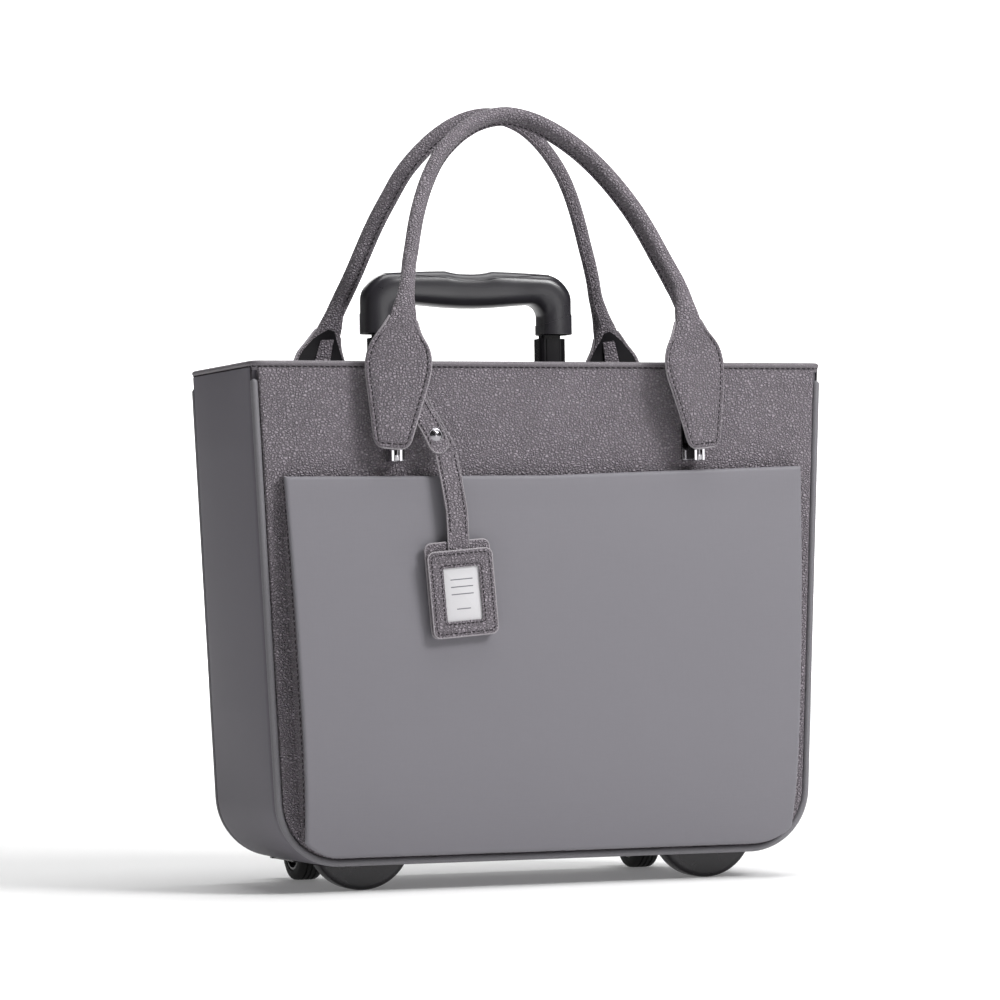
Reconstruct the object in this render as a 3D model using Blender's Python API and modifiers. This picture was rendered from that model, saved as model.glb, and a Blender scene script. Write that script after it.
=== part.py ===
"""Rolling laptop case: a tote-shaped bag on two wheels and two feet, with a telescopic
trolley behind the rear panel, two tote handles, a front pocket, a zipped top and a tag.

Units are metres, +Z is up and the front of the case faces -Y.  Shapes are written in the
bag's own frame (bag centred on X = 0 and Y = 0, floor at Z = 0); the case_origin empty then
moves everything along Y so that the whole case is centred on the origin.
"""

import bpy
import bmesh
from math import acos, asin, atan, cos, pi, radians, sin, sqrt
from mathutils import Matrix, Vector

for old_object in list(bpy.data.objects):
    bpy.data.objects.remove(old_object, do_unlink=True)

# ---------------------------------------------------------------- driving dimensions
GAP = 0.0003                 # clearance between pieces that touch

RIM_Z = 0.360                # top edge of the bag
RIM_HALF = 0.210             # half the bag's width at the rim
SIDE_SLOPE = 0.0466          # how much each side leans in per metre down
BASE_Z = 0.018               # underside of the bag
CORNER_R = 0.045             # rounded lower corners, seen from the front
HALF_DEPTH = 0.073           # half the bag's depth, front to back
WALL = 0.0055                # padded wall thickness
PIPING_R = 0.0025            # corded seam piping
BINDING_H = 0.006            # folded binding along the rim

POCKET_INSET = 0.0165        # pocket's side edges, in from the bag's outline
POCKET_TOP_LEFT = 0.2815     # pocket's top edge at the left, which rises to the right
POCKET_TOP_RIGHT = 0.2875
POCKET_SKIN = 0.0022
POCKET_STRIP = 0.0015        # leather strip round the pocket's sides and bottom
POCKET_PROUD_TOP = 0.0085    # how far the pocket stands off the front panel at its top edge
POCKET_PROUD = 0.0180        # and at its fullest

PIN_Z = 0.2958               # tote handles' hinge pins
PIN_OUT = 0.0100             # pins' distance off the panels
BRACKET_X = 0.111
TAB_LEAN = radians(5.5)      # handle tabs lean in towards the top
TAB_BACK = 0.0136            # tab's back face, off the panel
TAB_THICK = 0.0032
TAB_BOTTOM_Z = 0.3001
TAB_LENGTH = 0.0970
ROLL_R = 0.0060              # rolled leather handle

TUBE_X = 0.0640              # trolley tubes, each side of the middle
TUBE_Y = HALF_DEPTH + GAP + 0.0075
OUTER_TUBE = (0.0210, 0.0150)
MIDDLE_TUBE = (0.0180, 0.0120)
INNER_TUBE = (0.0148, 0.0088)
TUBE_WALL = 0.0010
GRIP_HALF = 0.079
GRIP_DEPTH = 0.025
GRIP_SOCKET_Z = 0.387        # lower ends of the grip
GRIP_BAR_Z = 0.4096          # underside of the grip's bar
GRIP_TOP_Z = 0.431
GRIP_SPLIT_Z = 0.4247        # parting line between the grip's body and its cover

WHEEL_X = 0.128
WHEEL_Y = 0.082
WHEEL_R = 0.024
TYRE_W = 0.018
HOUSING_R = 0.0305
HOUSING_W = 0.033
AXLE_R = 0.0030

FOOT_X = 0.127
FOOT_Y = -0.040
FOOT_W = 0.062
FOOT_DEPTH = 0.018
FOOT_ARC_R = 0.0355

FLAP_Z = 0.3425              # top face of the zipped flaps, below the rim
FLAP_THICK = 0.0025
FLAP_HINGE_Y = 0.0640
FLAP_HALF = 0.199

TAG_HINGE = (-0.0805, -0.0872, 0.2990)

REAR_REACH = WHEEL_Y + HOUSING_R
FRONT_REACH = 0.0985         # front of the tag
CASE_Y = (FRONT_REACH - REAR_REACH) / 2

# ---------------------------------------------------------------- collections and materials
case = bpy.data.collections.new("rolling_laptop_case")
cutters = bpy.data.collections.new("cutters")
for new_collection in (case, cutters):
    bpy.context.scene.collection.children.link(new_collection)


def material(name, colour, roughness, metallic=0.0):
    made = bpy.data.materials.new(name)
    made.use_nodes = True
    shader = made.node_tree.nodes["Principled BSDF"]
    shader.inputs["Base Color"].default_value = (*colour, 1.0)
    shader.inputs["Roughness"].default_value = roughness
    shader.inputs["Metallic"].default_value = metallic
    made.diffuse_color = (*colour, 1.0)
    return made


GRAINED = material("grained_leather", (0.150, 0.130, 0.140), 0.55)
SATIN = material("satin_fabric", (0.225, 0.220, 0.235), 0.45)
LINING = material("lining", (0.060, 0.060, 0.065), 0.85)
BOARD = material("fibre_board", (0.100, 0.080, 0.060), 0.90)
PLASTIC = material("black_plastic", (0.025, 0.025, 0.028), 0.45)
TUBE_BLACK = material("black_anodised_tube", (0.015, 0.015, 0.016), 0.20, 0.8)
GUNMETAL = material("gunmetal", (0.180, 0.180, 0.190), 0.15, 1.0)
STEEL = material("steel", (0.550, 0.550, 0.560), 0.30, 1.0)
TYRE = material("tyre_rubber", (0.020, 0.020, 0.020), 0.75)
CARD = material("card", (0.850, 0.850, 0.850), 0.60)


# ---------------------------------------------------------------- building tools
def empty(name, place, parent=None):
    """An empty whose place is given in the bag's frame."""
    made = bpy.data.objects.new(name, None)
    made.empty_display_size = 0.02
    made.location = Vector(place)
    if parent:
        made.parent = parent
        made.location = Vector(place) - frame_place(parent)
    case.objects.link(made)
    return made


def frame_place(joint):
    """A joint empty's place in the bag's frame."""
    place = Vector((0, 0, 0))
    while joint and joint is not case_origin:
        place += joint.location
        joint = joint.parent
    return place


case_origin = empty("case_origin", (0, CASE_Y, 0))


def keep(name, mesh, look, joint=None, smooth=35):
    """Links a mesh, written in the bag's frame, as a piece that hangs on a joint empty."""
    piece = bpy.data.objects.new(name, mesh)
    case.objects.link(piece)
    piece.parent = joint or case_origin
    piece.location = (0, 0, 0)
    mesh.transform(Matrix.Translation(-frame_place(joint)))
    mesh.materials.clear()
    mesh.materials.append(look)
    if smooth:
        mesh.shade_smooth()
        mesh.set_sharp_from_angle(angle=radians(smooth))
    return piece


def mesh_of(build):
    """A mesh made by a bmesh function."""
    work = bmesh.new()
    build(work)
    bmesh.ops.recalc_face_normals(work, faces=work.faces)
    mesh = bpy.data.meshes.new("shape")
    work.to_mesh(mesh)
    work.free()
    return mesh


def curve_mesh(curve, turn=Matrix()):
    """The closed mesh of a curve, with its caps welded, turned into place."""
    guide = bpy.data.objects.new("curve", curve)
    bpy.context.scene.collection.objects.link(guide)
    bpy.context.view_layer.update()
    graph = bpy.context.evaluated_depsgraph_get()
    mesh = bpy.data.meshes.new_from_object(guide.evaluated_get(graph))
    bpy.data.objects.remove(guide, do_unlink=True)
    work = bmesh.new()
    work.from_mesh(mesh)
    bmesh.ops.remove_doubles(work, verts=work.verts, dist=0.00001)
    bmesh.ops.recalc_face_normals(work, faces=work.faces)
    work.to_mesh(mesh)
    work.free()
    mesh.transform(turn)
    return mesh


def plate_mesh(loops, low, high, plane="XZ", smooth_loop=False):
    """A flat outline, with any holes, extruded from low to high across its plane."""
    curve = bpy.data.curves.new("outline", "CURVE")
    curve.dimensions = "2D"
    curve.fill_mode = "BOTH"
    curve.extrude = (high - low) / 2
    curve.resolution_u = 3
    for loop in loops:
        spline = curve.splines.new("BEZIER" if smooth_loop else "POLY")
        points = spline.bezier_points if smooth_loop else spline.points
        points.add(len(loop) - 1)
        for point, place in zip(points, loop):
            if smooth_loop:
                point.co = (*place, 0)
                point.handle_left_type = point.handle_right_type = "AUTO"
            else:
                point.co = (*place, 0, 1)
        spline.use_cyclic_u = True
    middle = (low + high) / 2
    turns = {
        "XZ": Matrix(((1, 0, 0, 0), (0, 0, -1, middle), (0, 1, 0, 0), (0, 0, 0, 1))),
        "XY": Matrix(((1, 0, 0, 0), (0, 1, 0, 0), (0, 0, 1, middle), (0, 0, 0, 1))),
        "YZ": Matrix(((0, 0, 1, middle), (1, 0, 0, 0), (0, 1, 0, 0), (0, 0, 0, 1))),
    }
    return curve_mesh(curve, turns[plane])


def tube_mesh(points, radius, sides=2):
    """A round cord along points, with closed ends."""
    curve = bpy.data.curves.new("cord", "CURVE")
    curve.dimensions = "3D"
    curve.bevel_depth = radius
    curve.bevel_resolution = sides
    curve.use_fill_caps = True
    spline = curve.splines.new("POLY")
    spline.points.add(len(points) - 1)
    for point, place in zip(spline.points, points):
        point.co = (*place, 1)
    return curve_mesh(curve)


def box_mesh(low, high):
    def build(work):
        bmesh.ops.create_cube(work, size=1.0)
        size = [b - a for a, b in zip(low, high)]
        bmesh.ops.scale(work, vec=size, verts=work.verts)
        bmesh.ops.translate(work, vec=[(a + b) / 2 for a, b in zip(low, high)], verts=work.verts)

    return mesh_of(build)


def rod_mesh(centre, radius, length, sides=20, axis="X"):
    """A cylinder about a line through centre."""
    turn = Matrix.Rotation(pi / 2, 4, "Y") if axis == "X" else Matrix()
    if axis == "Y":
        turn = Matrix.Rotation(pi / 2, 4, "X")

    def build(work):
        bmesh.ops.create_cone(
            work, cap_ends=True, segments=sides, radius1=radius, radius2=radius, depth=length,
            matrix=Matrix.Translation(centre) @ turn,
        )

    return mesh_of(build)


def turned_mesh(profile, centre, sides=24):
    """A ring turned about the X line through centre from a closed (x, radius) profile."""

    def build(work):
        corners = [work.verts.new((x, 0, r)) for x, r in profile]
        edges = [work.edges.new((a, b)) for a, b in zip(corners, corners[1:] + corners[:1])]
        bmesh.ops.spin(
            work, geom=corners + edges, cent=(0, 0, 0), axis=(1, 0, 0), angle=2 * pi,
            steps=sides, use_merge=True,
        )
        bmesh.ops.remove_doubles(work, verts=work.verts, dist=0.00001)
        bmesh.ops.translate(work, vec=centre, verts=work.verts)

    return mesh_of(build)


def bevelled(piece, width, segments=2, angle=40):
    rounding = piece.modifiers.new("rounded_edges", "BEVEL")
    rounding.width = width
    rounding.segments = segments
    rounding.limit_method = "ANGLE"
    rounding.angle_limit = radians(angle)
    return piece


def shaped(piece, mesh, operation):
    """Cuts a mesh, written in the bag's frame, out of a piece, or joins it on."""
    tool = bpy.data.objects.new(piece.name + "_" + operation.lower(), mesh)
    cutters.objects.link(tool)
    tool.parent = piece.parent
    mesh.transform(Matrix.Translation(-frame_place(piece.parent)))
    tool.hide_render = True
    tool.display_type = "WIRE"
    step = piece.modifiers.new(operation.lower(), "BOOLEAN")
    step.operation = operation
    step.solver = "EXACT"
    step.object = tool
    return piece


def cut(piece, mesh):
    return shaped(piece, mesh, "DIFFERENCE")


def joined(piece, mesh):
    return shaped(piece, mesh, "UNION")


def turned_about(mesh, centre, angle, axis="Y"):
    """The mesh, turned about a line through centre."""
    home = Matrix.Translation(centre)
    mesh.transform(home @ Matrix.Rotation(angle, 4, axis) @ home.inverted())
    return mesh


def mirrored(mesh, x=1, y=1):
    """The mesh, mirrored in X or Y where the factor is -1."""
    if x * y != 1 or x < 0:
        mesh.transform(Matrix.Diagonal((x, y, 1, 1)))
        if x * y < 0:
            mesh.flip_normals()
    return mesh


SIDES = (("left", -1), ("right", 1))
ENDS = (("front", -1), ("rear", 1))


# ---------------------------------------------------------------- the bag's outline
SIDE_ANGLE = atan(SIDE_SLOPE)


def half_width(z, inset=0.0):
    """The bag's half width at a height on its straight side."""
    return RIM_HALF - SIDE_SLOPE * (RIM_Z - z) - inset / cos(SIDE_ANGLE)


CORNER_Z = BASE_Z + CORNER_R
CORNER_X = half_width(CORNER_Z, CORNER_R)


def half_outline(inset, top, steps=9):
    """Points down the bag's right side and round its lower corner, inset from its outline."""
    points = [(half_width(top, inset), top)]
    for step in range(steps + 1):
        turn = -SIDE_ANGLE - (pi / 2 - SIDE_ANGLE) * step / steps
        points.append((
            CORNER_X + (CORNER_R - inset) * cos(turn),
            CORNER_Z + (CORNER_R - inset) * sin(turn),
        ))
    return points


def full_outline(inset, top, steps=9):
    """The outline from the top right, round the bottom, to the top left."""
    right = half_outline(inset, top, steps)
    return right + [(-x, z) for x, z in reversed(right)]


def rounded_rectangle(half_x, half_y, radius, steps=4):
    points = []
    for quarter, (sx, sy) in enumerate(((1, 1), (-1, 1), (-1, -1), (1, -1))):
        for step in range(steps + 1):
            turn = (quarter + step / steps) * pi / 2
            points.append((
                sx * (half_x - radius) + radius * cos(turn),
                sy * (half_y - radius) + radius * sin(turn),
            ))
    return points


# ---------------------------------------------------------------- bag shell
PANEL_INSET = 2 * PIPING_R + GAP
PANEL_TOP = RIM_Z - BINDING_H - GAP
PANEL_BACK = HALF_DEPTH - WALL
WELL_FRONT = WHEEL_Y - HOUSING_R - GAP
WELL_TOP = WHEEL_R + HOUSING_R + GAP
WELL_HALF = HOUSING_W / 2 + GAP


def wheel_well(side):
    """The room that a wheel housing takes out of the bag's lower rear edge."""
    x = side * WHEEL_X
    return box_mesh((x - WELL_HALF, WELL_FRONT, -0.01), (x + WELL_HALF, 0.12, WELL_TOP))


def bag_shell():
    for end, facing in ENDS:
        outer, inner = facing * HALF_DEPTH, facing * PANEL_BACK
        outline = full_outline(PANEL_INSET, PANEL_TOP)
        look = GRAINED if end == "front" else SATIN
        panel = keep(end + "_panel", plate_mesh([outline], min(outer, inner), max(outer, inner)), look)
        if end == "rear":
            for _, side in SIDES:
                cut(panel, wheel_well(side))
    strip = full_outline(0, PANEL_TOP) + full_outline(WALL, PANEL_TOP)[::-1]
    reach = PANEL_BACK - GAP
    gusset = keep("gusset", plate_mesh([strip], -reach, reach), SATIN)
    for _, side in SIDES:
        cut(gusset, wheel_well(side))
    half_x = half_width(RIM_Z - BINDING_H / 2)
    rim = [
        rounded_rectangle(half_x, HALF_DEPTH, 0.004),
        rounded_rectangle(half_x - WALL, HALF_DEPTH - WALL, 0.002),
    ]
    keep("rim_binding", plate_mesh(rim, RIM_Z - BINDING_H, RIM_Z, "XY"), GRAINED)


def piping():
    """Corded piping: round the whole front, and down each side of the rear to its wheel."""
    y = HALF_DEPTH - PIPING_R - 0.0005
    path = full_outline(PIPING_R, PANEL_TOP, steps=10)
    front = [(x, -y, z) for x, z in path]
    keep("front_piping", tube_mesh(front, PIPING_R), SATIN)
    end_x = WHEEL_X + WELL_HALF
    half = half_outline(PIPING_R, PANEL_TOP, steps=10)
    for label, side in SIDES:
        rear = [(side * x, y, z) for x, z in half] + [(side * end_x, y, half[-1][1])]
        keep("rear_piping_" + label, tube_mesh(rear, PIPING_R), SATIN)


# ---------------------------------------------------------------- front pocket
POCKET_FULL_Z = 0.120        # height where the pocket is fullest
POCKET_BOTTOM_INSET = 0.0085
POCKET_MEET = 0.0030         # how far the pocket still stands off at its bottom seam


def pocket_top(x):
    """Height of the pocket's top edge, level on its left half and rising on its right."""
    share = max(0.0, x / half_width(POCKET_TOP_RIGHT, POCKET_INSET))
    return POCKET_TOP_LEFT + (POCKET_TOP_RIGHT - POCKET_TOP_LEFT) * share


def pocket_proud(z):
    """How far the pocket's outer face stands off the front panel at a height."""
    bottom = BASE_Z + POCKET_BOTTOM_INSET
    if z > POCKET_FULL_Z:
        share = (z - POCKET_FULL_Z) / (POCKET_TOP_LEFT - POCKET_FULL_Z)
        return POCKET_PROUD - (POCKET_PROUD - POCKET_PROUD_TOP) * share ** 2
    share = min(1.0, (POCKET_FULL_Z - z) / (POCKET_FULL_Z - bottom))
    low = POCKET_MEET + POCKET_SKIN
    return low + (POCKET_PROUD - low) * (1 - share ** 2.6)


def pocket_row(z):
    """Half the pocket's width at a height, rounded into its bottom corners."""
    if z >= CORNER_Z:
        return half_width(z, POCKET_INSET)
    fall = min(1.0, (CORNER_Z - z) / (CORNER_R - POCKET_BOTTOM_INSET))
    return CORNER_X + (half_width(CORNER_Z, POCKET_INSET) - CORNER_X) * sqrt(1 - fall ** 2)


def pocket():
    """A full front panel on a strip that stands it off the bag."""
    rows, columns = 18, 8
    bottom = BASE_Z + POCKET_BOTTOM_INSET
    heights = [(row / rows) ** 1.8 for row in range(rows + 1)]

    def face(work):
        grid = []
        for share in heights:
            line = []
            for column in range(columns + 1):
                across = 2 * column / columns - 1
                z = bottom + (POCKET_TOP_LEFT - bottom) * share
                x = across * pocket_row(z)
                z = bottom + (pocket_top(x) - bottom) * share
                y = -HALF_DEPTH - pocket_proud(z) + POCKET_SKIN / 2
                line.append(work.verts.new((x, y, z)))
            grid.append(line)
        for low, high in zip(grid, grid[1:]):
            for a, b, c, d in zip(low, low[1:], high[1:], high):
                work.faces.new((a, b, c, d))

    panel = keep("pocket_panel", mesh_of(face), SATIN, smooth=60)
    skin = panel.modifiers.new("skin", "SOLIDIFY")
    skin.thickness = POCKET_SKIN
    skin.offset = 0

    def strip(work):
        """The pocket's side and bottom wall, as an open strip of two rows."""
        edge = []
        for side, order in ((1, heights[::-1]), (-1, heights)):
            for share in order:
                z = bottom + (POCKET_TOP_LEFT - bottom) * share
                x = side * (pocket_row(z) - 0.0008)
                z = bottom + (pocket_top(x) - bottom) * share + 0.0008 * (1 - share)
                edge.append((x, z))
        near, far = [], []
        for x, z in edge:
            out = -HALF_DEPTH - pocket_proud(z) + POCKET_SKIN + 2 * GAP
            near.append(work.verts.new((x, -HALF_DEPTH - GAP, z)))
            far.append(work.verts.new((x, min(out, -HALF_DEPTH - 2 * GAP - 0.0015), z)))
        for a, b, c, d in zip(near, near[1:], far[1:], far):
            work.faces.new((a, b, c, d))
        bmesh.ops.remove_doubles(work, verts=work.verts, dist=0.00001)

    wall = keep("pocket_gusset", mesh_of(strip), GRAINED, smooth=60)
    skin = wall.modifiers.new("skin", "SOLIDIFY")
    skin.thickness = POCKET_STRIP
    skin.offset = 0


# ---------------------------------------------------------------- inside the bag
SLEEVE_Z = 0.058
SLEEVE_TOP = 0.268
SLEEVE_FRONT = 0.030
SLEEVE_HALF = 0.186
SLEEVE_WALL = 0.004


def inside():
    floor = BASE_Z + WALL + GAP
    keep("base_board", box_mesh((-0.145, -0.066, floor), (0.145, 0.050, floor + 0.003)), BOARD)
    back = PANEL_BACK - GAP
    keep("back_board", box_mesh((-0.175, back - 0.0017, 0.060), (0.175, back, 0.320)), BOARD)
    rear = back - 0.0017 - GAP
    sleeve = keep(
        "laptop_sleeve",
        box_mesh((-SLEEVE_HALF, SLEEVE_FRONT, SLEEVE_Z), (SLEEVE_HALF, rear, SLEEVE_TOP)), LINING,
    )
    cut(sleeve, box_mesh(
        (SLEEVE_WALL - SLEEVE_HALF, SLEEVE_FRONT + SLEEVE_WALL, SLEEVE_Z + SLEEVE_WALL),
        (SLEEVE_HALF - SLEEVE_WALL, rear + 0.01, SLEEVE_TOP + 0.01),
    ))


# ---------------------------------------------------------------- zipped top
SLIDER_X, SLIDER_Y = -0.182, 0.0075
SLIDER_Z = FLAP_Z + GAP
SLIDER_HALF = (0.006, 0.0045)
SLIDER_THICK = 0.0022
PULLER_LENGTH = 0.0250
PULLER_HALF = 0.0036
PULLER_THICK = 0.0012


def zipped_top():
    """Two flaps that meet under the zip and hinge on the front and rear walls."""
    joints = {}
    for end, facing in ENDS:
        joint = empty("zip_flap_" + end + "_joint", (0, facing * FLAP_HINGE_Y, FLAP_Z), case_origin)
        near, far = facing * 0.0010, facing * (FLAP_HINGE_Y + 0.0005)
        flap = box_mesh(
            (-FLAP_HALF, min(near, far), FLAP_Z - FLAP_THICK), (FLAP_HALF, max(near, far), FLAP_Z),
        )
        keep("zip_flap_" + end, flap, LINING, joint)
        joints[end] = joint
    slide = empty("zip_slider_joint", (SLIDER_X, SLIDER_Y, SLIDER_Z), joints["rear"])
    half_x, half_y = SLIDER_HALF
    slider = keep("zip_slider", box_mesh(
        (SLIDER_X - half_x, SLIDER_Y - half_y, SLIDER_Z),
        (SLIDER_X + half_x, SLIDER_Y + half_y, SLIDER_Z + SLIDER_THICK),
    ), GUNMETAL, slide)
    bevelled(slider, 0.0006, 1)
    arch_x, arch_z = SLIDER_X + 0.0040, SLIDER_Z + 0.0040
    joined(slider, plate_mesh([[
        (arch_x - 0.0030, SLIDER_Z + 0.0010), (arch_x + 0.0016, SLIDER_Z + 0.0010),
        (arch_x + 0.0018, arch_z), (arch_x, arch_z + 0.0018), (arch_x - 0.0030, arch_z + 0.0012),
    ]], SLIDER_Y - 0.0011, SLIDER_Y + 0.0011))
    cut(slider, rod_mesh((arch_x, SLIDER_Y, arch_z), 0.0012, 0.01, 12, "Y"))
    turn = empty("zip_puller_joint", (arch_x, SLIDER_Y, arch_z), slide)
    puller = keep("zip_puller", box_mesh(
        (arch_x - PULLER_THICK / 2, SLIDER_Y - PULLER_HALF, arch_z - PULLER_THICK / 2),
        (arch_x + PULLER_LENGTH, SLIDER_Y + PULLER_HALF, arch_z + PULLER_THICK / 2),
    ), GUNMETAL, turn)
    cut(puller, box_mesh(
        (arch_x + 0.0004, SLIDER_Y - 0.0020, arch_z - 0.01),
        (arch_x + 0.0058, SLIDER_Y + 0.0020, arch_z + 0.01),
    ))
    return joints


# ---------------------------------------------------------------- trolley
COVER_HALF = 0.0815
COVER_Z = (0.0500, 0.3335)
COVER_WALL = 0.0020
FOOT_BRACKET_TOP = 0.0480
RIM_BRACKET_Z = (0.3345, 0.3530)
BRACKET_BACK = TUBE_Y + OUTER_TUBE[1] / 2 + 0.0018
OUTER_TUBE_Z = (0.0300, 0.3545)
MIDDLE_TUBE_Z = (0.0360, 0.3850)
COLLAR_Z = 0.3790            # lower edge of the collar at the middle tube's top
COLLAR_OUT = 0.0012
INNER_TUBE_Z = (0.0450, 0.4000)


def tube_section(size, room=0.0):
    """A tube's rounded rectangular section, grown by room all round."""
    return rounded_rectangle(size[0] / 2 + room, size[1] / 2 + room, 0.2 * size[1] + room, 3)


def tube_solid(x, loops, low, high):
    """A tube, or a solid of its section, standing on the trolley's line."""
    mesh = plate_mesh(loops, low, high, "XY")
    mesh.transform(Matrix.Translation((x, TUBE_Y, 0)))
    return mesh


def trolley():
    stage1 = empty("trolley_stage1_joint", (0, TUBE_Y, OUTER_TUBE_Z[1]), case_origin)
    stage2 = empty("trolley_stage2_joint", (0, TUBE_Y, MIDDLE_TUBE_Z[1]), stage1)
    for label, side in SIDES:
        x = side * TUBE_X
        outer = [tube_section(OUTER_TUBE), tube_section(OUTER_TUBE, -TUBE_WALL)]
        keep("outer_tube_" + label, tube_solid(x, outer, *OUTER_TUBE_Z), TUBE_BLACK)
        middle = [tube_section(MIDDLE_TUBE), tube_section(MIDDLE_TUBE, -TUBE_WALL)]
        middle_tube = keep(
            "middle_tube_" + label, tube_solid(x, middle, *MIDDLE_TUBE_Z), TUBE_BLACK, stage1,
        )
        collar = [tube_section(MIDDLE_TUBE, COLLAR_OUT), tube_section(MIDDLE_TUBE, -TUBE_WALL / 2)]
        joined(middle_tube, tube_solid(x, collar, COLLAR_Z, MIDDLE_TUBE_Z[1] - COLLAR_OUT / 2))
        inner_tube = tube_solid(x, [tube_section(INNER_TUBE)], *INNER_TUBE_Z)
        keep("inner_tube_" + label, inner_tube, TUBE_BLACK, stage2)
    face = HALF_DEPTH + GAP
    rim_bracket = keep("tube_rim_bracket", box_mesh(
        (-0.0785, face, RIM_BRACKET_Z[0]), (0.0785, BRACKET_BACK, RIM_BRACKET_Z[1]),
    ), PLASTIC)
    bevelled(rim_bracket, 0.0020, 1)
    lip = PANEL_BACK + GAP
    foot_half = WHEEL_X - WELL_HALF - GAP
    foot_bracket = keep("tube_foot_bracket", plate_mesh([[
        (face, FOOT_BRACKET_TOP), (BRACKET_BACK - 0.003, FOOT_BRACKET_TOP),
        (BRACKET_BACK, FOOT_BRACKET_TOP - 0.003), (BRACKET_BACK, BASE_Z + 0.003),
        (BRACKET_BACK - 0.003, BASE_Z), (lip, BASE_Z), (lip, BASE_Z + PANEL_INSET - GAP),
        (face, BASE_Z + PANEL_INSET - GAP),
    ]], -foot_half, foot_half, "YZ"), PLASTIC)
    for _, side in SIDES:
        x = side * TUBE_X
        hole = tube_section(OUTER_TUBE, GAP)
        cut(rim_bracket, tube_solid(x, [hole], 0.30, 0.40))
        cut(foot_bracket, tube_solid(x, [hole], OUTER_TUBE_Z[0] - GAP, 0.10))
    cover_out = TUBE_Y + OUTER_TUBE[1] / 2 + GAP + COVER_WALL
    inner_half = COVER_HALF - COVER_WALL
    section = [
        (COVER_HALF, face), (COVER_HALF, cover_out - 0.004), (COVER_HALF - 0.004, cover_out),
        (-COVER_HALF + 0.004, cover_out), (-COVER_HALF, cover_out - 0.004), (-COVER_HALF, face),
        (-inner_half, face), (-inner_half, cover_out - 0.005),
        (-inner_half + 0.003, cover_out - COVER_WALL), (inner_half - 0.003, cover_out - COVER_WALL),
        (inner_half, cover_out - 0.005), (inner_half, face),
    ]
    keep("trolley_cover", plate_mesh([section], *COVER_Z, "XY"), SATIN)
    grip(stage2)
    return stage1, stage2


GRIP_SHOULDER = 0.016
GRIP_NECK = 0.0235           # width of each downturned end
GRIP_INNER_R = 0.008
BUTTON_HALF = (0.0155, 0.0065)
BUTTON_ROOM = 0.0004         # clearance round the button
BUTTON_LOW = GRIP_SPLIT_Z - 0.0050
SPRING_FLOOR = GRIP_BAR_Z + 0.0020
SPRING_WIRE_R = 0.0004
SPRING_COIL_R = 0.0035
SPRING_TURNS = 4


def grip(stage2):
    """The trolley's grip: body, cover, release button and its spring."""
    outline = [(GRIP_HALF, GRIP_SPLIT_Z - GAP), (GRIP_HALF, GRIP_SOCKET_Z + 0.003)]
    outline += [(GRIP_HALF - 0.003, GRIP_SOCKET_Z), (GRIP_HALF - GRIP_NECK + 0.002, GRIP_SOCKET_Z)]
    for step in range(5):
        turn = step / 4 * pi / 2
        outline.append((
            GRIP_HALF - GRIP_NECK - GRIP_INNER_R * (1 - cos(turn)),
            GRIP_BAR_Z - GRIP_INNER_R * (1 - sin(turn)),
        ))
    full = outline + [(-x, z) for x, z in reversed(outline)]
    low, high = TUBE_Y - GRIP_DEPTH / 2, TUBE_Y + GRIP_DEPTH / 2
    body = keep("grip_body", plate_mesh([full], low, high), PLASTIC, stage2)
    bevelled(body, 0.0030, 2)
    top = [(GRIP_HALF, GRIP_SPLIT_Z)]
    for step in range(1, 5):
        turn = step / 4 * pi / 2
        top.append((
            GRIP_HALF - GRIP_SHOULDER * (1 - cos(turn)),
            GRIP_SPLIT_Z + (GRIP_TOP_Z - GRIP_SPLIT_Z) * sin(turn),
        ))
    top = top + [(-x, z) for x, z in reversed(top)]
    cover = keep("grip_cover", plate_mesh([top], low + 0.0005, high - 0.0005), PLASTIC, stage2)
    for _, side in SIDES:
        socket = tube_section(INNER_TUBE, GAP)
        cut(body, tube_solid(side * TUBE_X, [socket], 0.30, INNER_TUBE_Z[1] + GAP))
    press = empty("release_button_joint", (0, TUBE_Y, GRIP_TOP_Z), stage2)
    half_x, half_y = BUTTON_HALF
    room_x, room_y = half_x + BUTTON_ROOM, half_y + BUTTON_ROOM
    for piece, floor in ((cover, 0.40), (body, SPRING_FLOOR)):
        cut(piece, box_mesh((-room_x, TUBE_Y - room_y, floor), (room_x, TUBE_Y + room_y, 0.45)))
    button = keep("release_button", box_mesh(
        (-half_x, TUBE_Y - half_y, BUTTON_LOW), (half_x, TUBE_Y + half_y, GRIP_TOP_Z + 0.0008),
    ), PLASTIC, press)
    bevelled(button, 0.0010, 1)
    low_z = SPRING_FLOOR + GAP + SPRING_WIRE_R
    high_z = BUTTON_LOW - GAP - SPRING_WIRE_R
    points = []
    for step in range(SPRING_TURNS * 10 + 1):
        turn = step / 10 * 2 * pi
        points.append((
            SPRING_COIL_R * cos(turn), TUBE_Y + SPRING_COIL_R * sin(turn),
            low_z + (high_z - low_z) * step / (SPRING_TURNS * 10),
        ))
    keep("button_spring", tube_mesh(points, SPRING_WIRE_R, 1), STEEL, stage2)


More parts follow.
